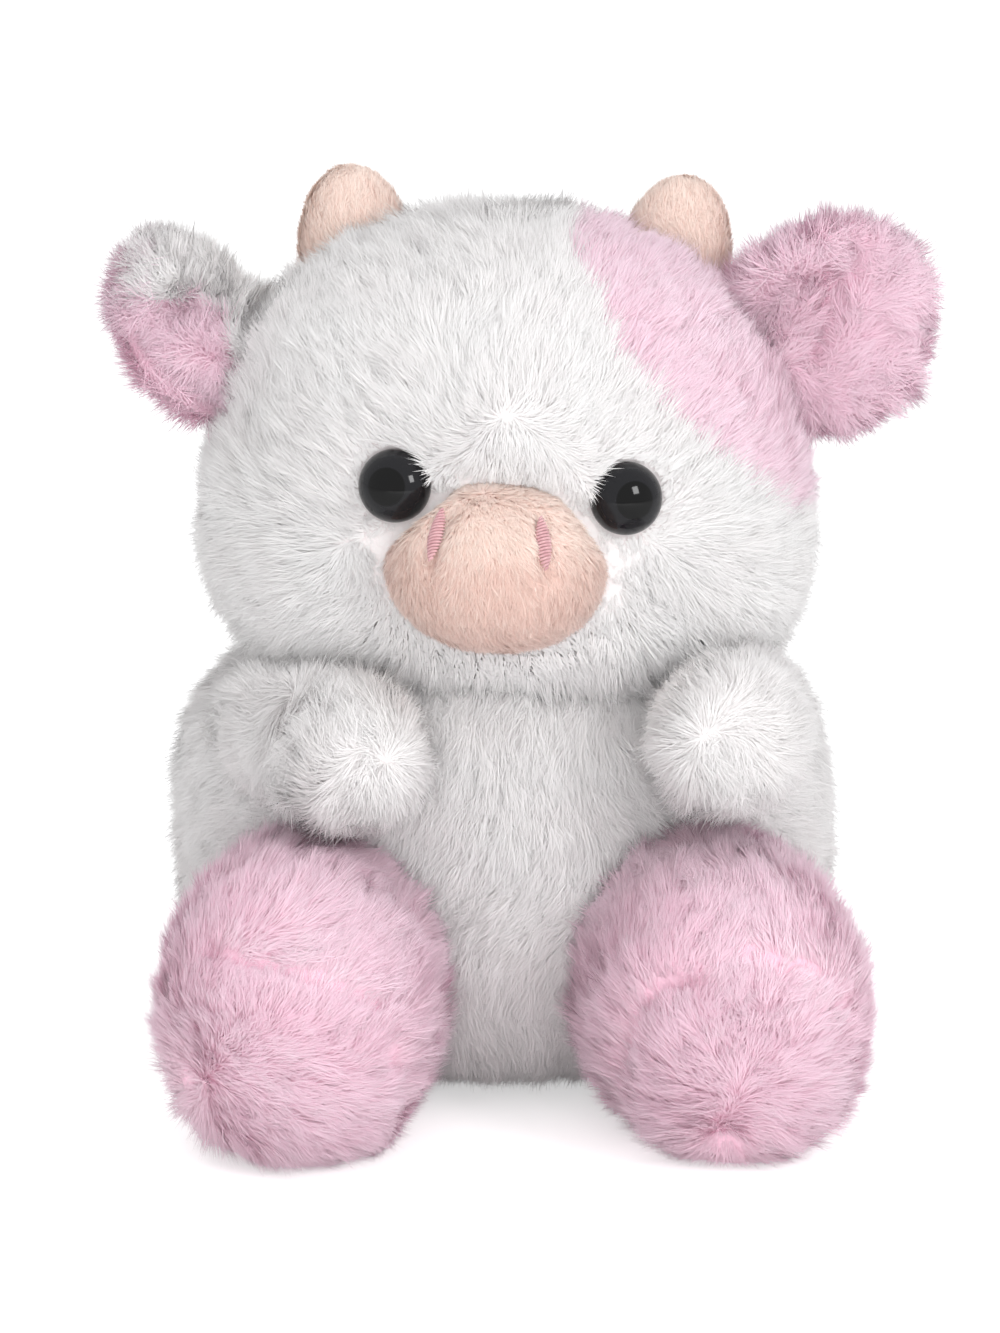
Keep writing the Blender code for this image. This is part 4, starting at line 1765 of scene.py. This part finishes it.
        white = Combing(flow, off_panel, shorter, loft, evenly(self.white_tone))
        pink = Combing(flow, on_panel, shorter, loft, evenly(self.panel_tone))
        full = Pelt(pelt.form, pelt.place, jowl)
        furrier.pile("head_pile", full, self.coat, white, "head", Slot.WHITE)
        furrier.pile("head_patch_pile", full, self.patch_coat, pink, "head", Slot.PINK)

    def build_muzzle(self, furrier: Furrier) -> None:
        """Makes the muzzle's skin and its short pile.

        Args:
            furrier: makes the pieces.
        """
        pelt = self.muzzle_pelt()
        head = self.pelt()
        furrier.backing("muzzle_backing", pelt, "head", Slot.PEACH, ["muzzle_skin"], inset=0.0003)

        def flow(spots: Array) -> Array:
            """Outwards from the pinch at the top of the muzzle, and down.

            Args:
                spots: in the world, (count, 3).

            Returns:
                The directions, (count, 3).
            """
            total = pelt.inside(spots) - np.array(self.muzzle_creases[0].path[0]) / 1000
            total[:, 2] -= 0.007
            return pelt.turned(unit(total) + 0.3 * swells(spots, 0.007, 44))

        frames = [self.nostril_frame(side) for side in Side]
        eyes = self.eye_spots()

        def off_nostril(spots: Array) -> Array:
            """How far outside the nearest nostril: below 1 is on its stitches.

            Args:
                spots: in the world, (count, 3).

            Returns:
                The share, (count,).
            """
            nearest = np.full(len(spots), np.inf)
            for place in frames:
                local = (spots - place[:3, 3]) @ place[:3, :3]
                across = local[:, 0] / (0.5 * self.nostril_width + 0.0003)
                along_slit = local[:, 1] / (0.5 * self.nostril_length + 0.0003)
                nearest = np.minimum(nearest, np.hypot(across, along_slit))
            return nearest

        def keep(spots: Array) -> Array:
            """Leaves out what the head hides, the nostrils and what lies under the eyes.

            Args:
                spots: in the world, (count, 3).

            Returns:
                A mask, (count,).
            """
            seen = ~head.covers(spots, -0.001) & (off_nostril(spots) > 0.8)
            for eye in eyes:
                seen &= np.linalg.norm(spots - eye, axis=-1) > self.eye_radius
            return seen

        def scale(spots: Array) -> Array:
            """Shorter round the nostrils and beside the eyes.

            Args:
                spots: in the world, (count, 3).

            Returns:
                What multiplies the length, (count,).
            """
            high = pelt.inside(spots)[:, 2] / self.muzzle_half_height
            short = 1 - 0.45 * bell(np.maximum(off_nostril(spots) - 1, 0), 0.6)
            short *= 1 - 0.35 * ramp(high, 0.6, 0.95)
            for gap in self.eye_gaps(spots):
                short *= 1 - 0.6 * bell(gap, 0.002)
            return short

        def tone(spots: Array) -> Array:
            """Painted shade below and in the creases, and painted light that makes the top paler.
            """
            high = pelt.inside(spots)[:, 2] / self.muzzle_half_height
            return pelt.painted_crease_shade(spots) + 0.38 - 1.5 * ramp(high, 0.1, 0.85)

        combing = Combing(flow, keep, scale, tone=tone)
        furrier.pile("muzzle_pile", pelt, self.short_coat, combing, "head", Slot.PEACH)

    def build_horns(self, furrier: Furrier) -> None:
        """Makes the two horns and their short pile.

        Args:
            furrier: makes the pieces.
        """
        head = self.pelt()
        for side in Side:
            pelt = self.horn_pelt(side)
            name = f"horn_{side.label}"
            furrier.backing(
                f"{name}_backing", pelt, "head", Slot.PEACH, [f"{name}_skin"], inset=0.0003
            )

            def flow(spots: Array, pelt: Pelt = pelt, side: Side = side) -> Array:
                """Up the horn and round it.

                Args:
                    spots: in the world, (count, 3).
                    pelt: the horn's form.
                    side: whose horn it is.

                Returns:
                    The directions, (count, 3).
                """
                local = pelt.inside(spots)
                total = np.stack(
                    (-local[:, 1] * 60, local[:, 0] * 60, np.full(len(local), 1.2)), -1
                )
                return pelt.turned(total * np.array((-side.value, -side.value, 1)))

            # The horns' pile is painted paler, as painted light.
            combing = Combing(
                flow, lambda spots: ~head.covers(spots, -0.001), tone=evenly(self.horn_tone)
            )
            furrier.pile(f"{name}_pile", pelt, self.short_coat, combing, "head", Slot.PEACH)

    def build_eye(self, furrier: Furrier, side: Side) -> None:
        """Makes one domed eye: its profile swept about its own axis.

        Args:
            furrier: makes the pieces.
            side: which eye.
        """
        turn = np.linspace(0, math.pi / 2, 25)
        dome = np.stack((self.eye_radius * np.sin(turn), self.eye_dome * np.cos(turn)), -1)
        under = np.array(
            (
                (self.eye_radius, -0.6 * self.eye_rim),
                (0.96 * self.eye_radius, -self.eye_rim),
                (self.shank_radius, -self.eye_rim),
                (self.shank_radius, -self.shank_length + 0.0003),
                (0.85 * self.shank_radius, -self.shank_length),
                (0.0, -self.shank_length),
            )
        )
        profile = np.concatenate((dome, under))
        grid = turned_profile(profile, 64)
        place = as_array(self.spot(side.value * self.eye_around, self.eye_up))
        item = closed_surface(f"eye_{side.label}_dome", grid @ place[:3, :3].T + place[:3, 3])
        across = np.linalg.norm(grid[..., :2], axis=-1) / self.eye_radius
        across = np.concatenate((across[0, :1], across[1:-1].ravel(), across[-1, :1]))
        set_values(item, "across", across)
        eye = furrier.finishes.plain[Slot.EYE]
        dress(item, "head", eye, [f"eye_{side.label}"])

    def build_nostril(self, furrier: Furrier, side: Side) -> None:
        """Makes one nostril: satin stitches laid side by side over a slit.

        Each thread is a small tube that bows over the slit, and its span follows the slit's
        leaf shape, width * sin(pi * share)^0.7.

        Args:
            furrier: makes the pieces.
            side: which nostril.
        """
        place = self.nostril_frame(side)
        threads, rings, round_steps = 17, 9, 6
        share = (np.arange(threads) + 0.5) / threads
        half = 0.5 * self.nostril_width * np.sin(math.pi * share) ** 0.7 + 0.0002
        height = (share - 0.5) * self.nostril_length
        bow = np.linspace(-1, 1, rings)
        across = half[:, None] * bow
        lift = 0.0009 * (1 - bow**2) * (half / half.max())[:, None] + 0.0004
        middle = np.stack(
            (across, height[:, None] + 0.0004 * bow, np.broadcast_to(lift, across.shape)), -1
        )
        turn = np.linspace(0, math.tau, round_steps, endpoint=False)
        radius = 0.00031 * np.sqrt(np.maximum(1 - bow**6, 0.05))
        ring = np.stack((0 * turn, np.cos(turn), np.sin(turn)), -1)
        tubes = middle[:, :, None] + radius[:, None, None] * ring[None, None]
        points = tubes.reshape(-1, 3) @ place[:3, :3].T + place[:3, 3]
        step = np.arange(round_steps)
        ahead = (step + 1) % round_steps
        row = round_steps * np.arange(rings - 1)[:, None]
        next_row = row + round_steps
        quads = np.stack((row + step, row + ahead, next_row + ahead, next_row + step), -1)
        starts = (rings * round_steps * np.arange(threads))[:, None, None]
        quads = (starts + quads.reshape(-1, 4)[None]).reshape(-1, 4)
        caps = np.stack((step[::-1], step + round_steps * (rings - 1)))
        caps = (starts + caps[None]).reshape(-1, round_steps)
        item = make_object(f"nostril_{side.label}_stitches", points, (quads, caps))
        thread = furrier.finishes.plain[Slot.THREAD]
        dress(item, "head", thread, [f"nostril_{side.label}"])


@dataclass
class EarParts:
    """One cupped ear: a front and a back fabric sewn round the rim."""

    side: Side
    head: HeadParts
    up: float
    lift: float
    roll: float
    centre: float
    back: Slot
    half_width: float = 0.0195
    half_thickness: float = 0.0075
    half_length: float = 0.022
    sink: float = 0.003
    cup: float = 0.009
    around: float = math.radians(102)
    creases: tuple[Crease, ...] = ()
    wrap: float = 0.0
    coat: Coat = Coat(
        density=13e6, length=0.0088, height=0.0060, width=0.00024, lock=0.0030, gather=0.6,
        stray=1.4, seed=51,
    )

    def pelt(self) -> Pelt:
        """The ear's form in its place.

        Returns:
            The pelt, with its creases.
        """
        length, sign = self.half_length, self.side.value
        form = SoftForm(
            self.half_width, self.half_thickness, length, length, 2.2, 2.0, self.cup
        )
        base = self.head.form()
        place = base.spots(np.array(sign * self.around), np.array(self.up))
        spot = Vector(place - self.sink * base.outward(place))
        lift = Matrix.Rotation(sign * (math.pi / 2 - self.lift), 4, "Y")
        roll = Matrix.Rotation(-self.roll, 4, "Z")
        frame_of = self.head.frame @ Matrix.Translation(spot) @ lift @ roll
        place = as_array(frame_of @ lifted(0, 0, self.centre))
        return Pelt(form, place, pulled(form, self.creases), self.creases)

    def build(self, furrier: Furrier) -> None:
        """Makes the ear's two fabrics and their piles.

        Args:
            furrier: makes the pieces.
        """
        pelt, head = self.pelt(), self.head.pelt()
        body = f"ear_{self.side.label}"

        def depth(spots: Array) -> Array:
            """How far a place lies in front of the seam, which wraps back on one side.

            Args:
                spots: in the form's frame, (..., 3).

            Returns:
                The depth in metres, (...).
            """
            bend = self.cup * (spots[..., 0] / self.half_width) ** 2
            wrapped = self.wrap * ramp(spots[..., 0], 0, 0.4 * self.half_width)
            wrapped = wrapped * (1 - 0.7 * ramp(spots[..., 2], 0.006, 0.019))
            wrapped = wrapped * (1 - 0.35 * ramp(-spots[..., 2], 0.0, 0.012))
            return -(spots[..., 1] + bend) + wrapped

        def front(spots: Array) -> Array:
            """Draws the back half in."""
            return -0.0012 * ramp(-depth(spots), -0.001, 0.001)

        def back(spots: Array) -> Array:
            """Draws the front half in."""
            return -0.0012 * ramp(depth(spots), -0.001, 0.001)

        def flow(spots: Array) -> Array:
            """Outwards from the root to the rim, in tufts, and straight out on the rim.

            Args:
                spots: in the world, (count, 3).

            Returns:
                The directions, (count, 3).
            """
            local = pelt.inside(spots)
            total = unit(local * np.array((1.4, 0.6, 1.0)) + np.array((0.0, 0.0, 0.012)))
            rim = bell(depth(local), 0.004)[:, None]
            return pelt.turned((0.95 - 0.6 * rim) * (total + 0.6 * swells(local, 0.008, 55)))

        def sunk(spots: Array) -> Array:
            """Shorter in the creases."""
            return 1 - 0.45 * pelt.creased(spots)

        for label, shape, slot, way in (
            ("front", front, Slot.PINK, 1),
            ("back", back, self.back, -1),
        ):
            name = f"{body}_{label}"
            furrier.backing(f"{name}_backing", pelt, body, slot, [name], shape)

            def keep(spots: Array, way: int = way) -> Array:
                """The strands of one fabric that the head doesn't hide."""
                local = pelt.inside(spots)
                return (way * depth(local) > 0) & ~head.covers(spots, -0.002)

            combing = Combing(flow, keep, sunk, sunk, pelt.painted_crease_shade)
            furrier.pile(f"{name}_pile", pelt, self.coat, combing, body, slot)


def ear_parts(side: Side, head: HeadParts) -> EarParts:
    """One ear, from its own angles.

    Args:
        side: which ear.
        head: that it is sewn to.

    Returns:
        Its sizes, angles and creases.
    """
    # The last number of each fold is the painted shade in it.
    if side is Side.LEFT:
        folds = (
            Crease(((-10.8, -7.8, 12.6), (-4.2, -7.6, 5.3), (3.2, -7.5, -4.2)), 3.2, 2.2, 0.5),
            Crease(((12.0, -4.0, 18.0), (6.0, -7.0, 8.0)), 1.5, 2.5, 0.2),
        )
        up, lift, roll = math.radians(34), math.radians(34), math.radians(-12)
        return EarParts(side, head, up, lift, roll, 0.017, Slot.PINK, creases=folds)
    fold = Crease(((16.9, -5.2, 10.0), (16.6, -4.8, 0.0), (16.3, -4.3, -9.0)), 3.0, 1.8, 0.8)
    up, lift, roll = math.radians(26), math.radians(38), math.radians(104)
    return EarParts(side, head, up, lift, roll, 0.014, Slot.WHITE, creases=(fold,), wrap=0.0068)


@dataclass
class LimbParts:
    """One arm or leg: a blunt form that reaches forward from its root at the torso."""

    name: str
    slot: Slot
    replaced: Sequence[str]
    half_width: float
    half_height: float
    centre: float
    reach: float
    tail: float
    end_blunt: float
    root_blunt: float
    root: tuple[float, float, float]
    swing: float
    rise: float
    coat: Coat
    whorl: tuple[float, float] = (0.0, 0.0)
    creases: tuple[Crease, ...] = ()
    tousled: float = 0.9

    def pelt(self) -> Pelt:
        """The limb's form in its place.

        Returns:
            The pelt, with its creases.
        """
        form = SoftForm(
            self.half_width,
            self.half_height,
            self.reach,
            self.tail,
            self.end_blunt,
            self.root_blunt,
        )
        rise = Matrix.Rotation(math.pi / 2 - self.rise, 4, "X")
        turn = Matrix.Rotation(self.swing, 4, "Z") @ rise
        frame_of = lifted(*self.root) @ turn @ lifted(0, 0, self.centre)
        return Pelt(form, as_array(frame_of), pulled(form, self.creases), self.creases)

    def build(self, furrier: Furrier, torso: Pelt) -> None:
        """Makes the limb's skin and its pile.

        Args:
            furrier: makes the pieces.
            torso: the form that hides its root.
        """
        pelt = self.pelt()
        furrier.backing(f"{self.name}_backing", pelt, self.name, self.slot, self.replaced)

        def flow(spots: Array) -> Array:
            """Away from the whorl on the end, more upright in the middle, turned by slow swells.

            Args:
                spots: in the world, (count, 3).

            Returns:
                The directions, (count, 3).
            """
            local = pelt.inside(spots)
            heart = np.array((*self.whorl, self.reach))
            away = (local - heart) * np.array((1.0, 1.0, 0.3))
            start = ramp(np.linalg.norm(away, axis=-1), 0.0, 0.4 * self.half_width)[:, None]
            wide = np.hypot(local[:, 0] / self.half_width, local[:, 1] / self.half_height)[:, None]
            start = start * (0.5 + 0.5 * ramp(wide, 0.45, 1.0))
            swell = self.tousled * swells(local, 0.009, self.coat.seed + 30)
            return pelt.turned(start * (unit(away) + swell))

        def sunk(spots: Array) -> Array:
            """Shorter in the creases."""
            return 1 - 0.5 * pelt.creased(spots)

        def keep(spots: Array) -> Array:
            """Leaves out what the torso hides and what lies on the floor."""
            return ~torso.covers(spots, -0.003) & (spots[:, 2] > FLOOR_GAP)

        combing = Combing(flow, keep, sunk, sunk, pelt.painted_crease_shade)
        furrier.pile(f"{self.name}_pile", pelt, self.coat, combing, self.name, self.slot)


@dataclass
class TailParts:
    """The tail: a thin cord of cloth with a tuft at its end."""

    half_thickness: float = 0.0032
    length: float = 0.030
    hang: float = math.radians(22)
    seat: tuple[float, float, float] = (0.0, 0.05139, 0.03835)
    tuft_half_thickness: float = 0.0068
    tuft_half_length: float = 0.0095
    coat: Coat = Coat(
        density=11e6, length=0.0060, height=0.0030, width=0.00024, lock=0.0020, seed=71,
    )
    tuft_coat: Coat = Coat(
        density=14e6, length=0.0085, height=0.0046, width=0.00024, lock=0.0026, seed=73,
    )

    def build(self, furrier: Furrier, torso: Pelt) -> None:
        """Makes the cord, the tuft and their piles.

        Args:
            furrier: makes the pieces.
            torso: the form that hides its root.
        """
        hang = lifted(*self.seat) @ Matrix.Rotation(math.pi + self.hang, 4, "X")
        half = self.length / 2
        cord = SoftForm(self.half_thickness, self.half_thickness, half, half, 3.0, 3.0)
        cord_pelt = Pelt(cord, as_array(hang @ lifted(0, 0, half)))
        thick, long = self.tuft_half_thickness, self.tuft_half_length
        tuft_pelt = Pelt(
            SoftForm(thick, thick, long, long, 2.4, 2.0), as_array(hang @ lifted(0, 0, self.length))
        )

        def flow(spots: Array) -> Array:
            """Down the tail."""
            return cord_pelt.turned(np.broadcast_to((0.0, 0.0, 1.0), spots.shape))

        cord_combing = Combing(flow, lambda spots: ~torso.covers(spots, -0.001))
        furrier.backing("tail_cord_backing", cord_pelt, "tail", Slot.WHITE, ["tail_cord"])
        furrier.pile("tail_cord_pile", cord_pelt, self.coat, cord_combing, "tail", Slot.WHITE)
        furrier.backing("tail_tuft_backing", tuft_pelt, "tail", Slot.PINK, ["tail_tuft"])
        furrier.pile("tail_tuft_pile", tuft_pelt, self.tuft_coat, Combing(flow), "tail", Slot.PINK)


def arm_parts(side: Side) -> LimbParts:
    """One arm, from its own angles.

    Args:
        side: which arm.

    Returns:
        Its sizes and angles.
    """
    inward = {Side.LEFT: 7, Side.RIGHT: 27}[side]
    rise = {Side.LEFT: 9, Side.RIGHT: 2}[side]
    name = f"arm_{side.label}"
    return LimbParts(
        name,
        Slot.WHITE,
        [f"{name}_skin"],
        half_width=0.0125,
        half_height=0.0130,
        centre=0.040,
        reach=0.0155,
        tail=0.044,
        end_blunt=2.3,
        root_blunt=3.2,
        root=(side.value * 0.04927, -0.02217, 0.07775),
        swing=math.radians(-side.value * inward),
        rise=math.radians(rise),
        coat=Coat(
            density=11e6, length=0.0082, height=0.0046, width=0.00025, lock=0.0027, gather=0.5,
            stray=0.9, seed=81 + side.value,
        ),
        whorl=(0.001, 0.002),
    )


def leg_parts(side: Side) -> LimbParts:
    """One leg, from its own angles.

    Args:
        side: which leg.

    Returns:
        Its sizes, angles and creases.
    """
    splay = {Side.LEFT: 13, Side.RIGHT: 7}[side]
    name = f"leg_{side.label}"
    whorl = {Side.LEFT: (-0.006, -0.021), Side.RIGHT: (-0.0185, -0.010)}[side]
    # Each crease's last number is the painted shade in it; the two fold lines below 0 are paler.
    creases = {
        Side.LEFT: (
            Crease(
                (
                    (-13.6, 11.8, 24.1),
                    (-19.5, 11.4, 19.4),
                    (-24.4, -3.6, 14.9),
                    (-18.5, -23.1, 3.5),
                ),
                3.0,
                1.8,
                0.4,
            ),
            Crease(((-6.1, -21.7, 21.6),), 3.0, 2.8, 0.4),
            Crease(((-2.1, 16.8, 25.5), (7.0, 15.0, 25.5), (14.0, 10.7, 24.3)), 0.9, 1.6, -0.8),
            Crease(((16.3, 5.4, 24.2),), 1.8, 1.8, 0.4),
        ),
        Side.RIGHT: (
            Crease(((-11.9, 16.4, 22.9), (3.2, 14.2, 26.6), (18.3, 6.8, 22.3)), 0.9, 1.6, -0.8),
            Crease(((-18.9, -9.8, 20.7),), 2.4, 2.6, 0.4),
            Crease(((-14.5, 16.6, 21.5),), 1.6, 1.8, 0.5),
            Crease(((20.9, -4.7, 20.0),), 2.0, 2.2, 0.3),
        ),
    }[side]
    return LimbParts(
        name,
        Slot.PINK,
        [f"{name}_skin", f"{name}_sole"],
        half_width=0.0256,
        half_height=0.0303,
        centre=0.0375,
        reach=0.029,
        tail=0.0415,
        end_blunt=2.25,
        root_blunt=3.2,
        root=(side.value * 0.0365, -0.02822, 0.0290),
        swing=math.radians(side.value * splay),
        rise=0.0,
        coat=Coat(
            density=11.5e6, length=0.0078, height=0.0046, width=0.00025, lock=0.0027,
            gather=0.5, seed=91 + side.value,
        ),
        whorl=whorl,
        creases=creases,
        tousled=0.5,
    )


# ---- Studio ----


@dataclass(frozen=True)
class Studio:
    """The floor, the lamps and the camera."""

    elevation: float = math.radians(14)
    distance: float = 1.15
    target: tuple[float, float, float] = (-0.0006, 0.0, 0.083)
    pixel: float = 0.00021
    image_height: int = 1333
    film: float = 36.0

    def build(self) -> None:
        """Makes them all."""
        self.build_floor()
        self.build_world()
        self.lamp("key_lamp", (0.80, -0.95, 0.72), (0.34, 0.42), 5.2)
        self.lamp("front_lamp", (0.0, -1.3, 0.14), (1.3, 0.28), 5.2)
        self.lamp("top_lamp", (-0.05, -0.35, 1.5), (1.5, 1.5), 6.0)
        self.build_camera()

    def build_floor(self) -> None:
        """A wide pale floor that the camera sees as white, with the cow's shadow on it."""
        half = 6.0
        corners = np.array(((-half, -half, 0), (half, -half, 0), (half, half, 0), (-half, half, 0)))
        floor = make_object("studio_floor", corners, (np.array([[0, 1, 2, 3]]),))
        made, tree, shader = new_material("floor_paper")
        _, blend = clouds(tree, 3, 2, ((0.90, 0.90, 0.90), (0.92, 0.92, 0.92)))
        light = tree.nodes.new("ShaderNodeLightPath")
        lift = maths(tree, "MULTIPLY", 0, 0.5)
        settle(
            shader,
            {"Roughness": 0.9, "Specular IOR Level": 0.0, "Emission Color": (1.0, 1.0, 1.0)},
        )
        wire(
            tree,
            (blend.outputs["Result"], shader.inputs["Base Color"]),
            (light.outputs["Is Camera Ray"], lift.inputs[0]),
            (lift.outputs[0], shader.inputs["Emission Strength"]),
        )
        floor.data.materials.append(made)

    def build_world(self) -> None:
        """White all round: full white to the camera, and softer as a light and in reflections."""
        world = bpy.data.worlds.new("studio")
        bpy.context.scene.world = world
        world.use_nodes = True
        tree = world.node_tree
        back = tree.nodes["Background"]
        light = tree.nodes.new("ShaderNodeLightPath")
        strength = maths(tree, "MULTIPLY_ADD", 0, 0.24, 0.76)
        settle(back, {"Color": (1.0, 1.0, 1.0)})
        wire(
            tree,
            (light.outputs["Is Camera Ray"], strength.inputs[0]),
            (strength.outputs[0], back.inputs["Strength"]),
        )

    def lamp(
        self, name: str, place: tuple[float, float, float], size: tuple[float, float], power: float
    ) -> None:
        """A soft lamp, so wide and so high, that faces the cow.

        Args:
            name: of the lamp.
            place: of its middle.
            size: its width and height.
            power: in watts.
        """
        data = bpy.data.lights.new(name, "AREA")
        data.shape = "RECTANGLE"
        data.size, data.size_y = size
        data.energy = power
        item = bpy.data.objects.new(name, data)
        bpy.context.scene.collection.objects.link(item)
        aim = Vector(self.target) - Vector(place)
        item.matrix_world = lifted(*place) @ aim.to_track_quat("-Z", "Y").to_matrix().to_4x4()
        item.visible_glossy = name == "key_lamp"

    def build_camera(self) -> None:
        """The camera at the photograph's place."""
        data = bpy.data.cameras.new("camera")
        data.sensor_fit = "VERTICAL"
        data.sensor_height = self.film
        data.lens = self.film * self.distance / (self.image_height * self.pixel)
        item = bpy.data.objects.new("camera", data)
        bpy.context.scene.collection.objects.link(item)
        back = Vector((0, -math.cos(self.elevation), math.sin(self.elevation)))
        eye = Vector(self.target) + self.distance * back
        turn = (-back).to_track_quat("-Z", "Y").to_matrix().to_4x4()
        item.matrix_world = Matrix.Translation(eye) @ turn
        bpy.context.scene.camera = item
        bpy.context.scene.view_settings.view_transform = "Standard"


def dress_inside(finishes: Finishes) -> None:
    """Gives the CAD pieces that stay inside the cow their own finishes.

    Args:
        finishes: every material.
    """
    for name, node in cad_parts.items():
        slot = None
        if name.endswith("stuffing"):
            slot = Slot.FILLING
        elif name == "pellet_pouch":
            slot = Slot.PELLETS
        elif "washer" in name:
            slot = Slot.WASHER
        if slot is not None:
            for entry in node.material_slots:
                entry.material = finishes.plain[slot]


def main() -> None:
    """Builds the cow's looks, sub-assembly by sub-assembly."""
    logging.basicConfig(level=logging.INFO, format="%(message)s")
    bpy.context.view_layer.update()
    finishes = Finishes()
    finishes.build()
    furrier = Furrier(finishes)
    dress_inside(finishes)
    torso, head, tail = TorsoParts(), HeadParts(), TailParts()
    arms = [arm_parts(side) for side in Side]
    legs = [leg_parts(side) for side in Side]
    torso_pelt = torso.pelt()
    covers = [head.pelt(), *(limb.pelt() for limb in (*arms, *legs))]
    torso.build(furrier, covers)
    head.build(furrier)
    ears = [ear_parts(side, head) for side in Side]
    for ear in ears:
        ear.build(furrier)
    for limb in (*arms, *legs):
        limb.build(furrier, torso_pelt)
    tail.build(furrier, torso_pelt)
    Studio().build()


if __name__ == "__main__":
    main()
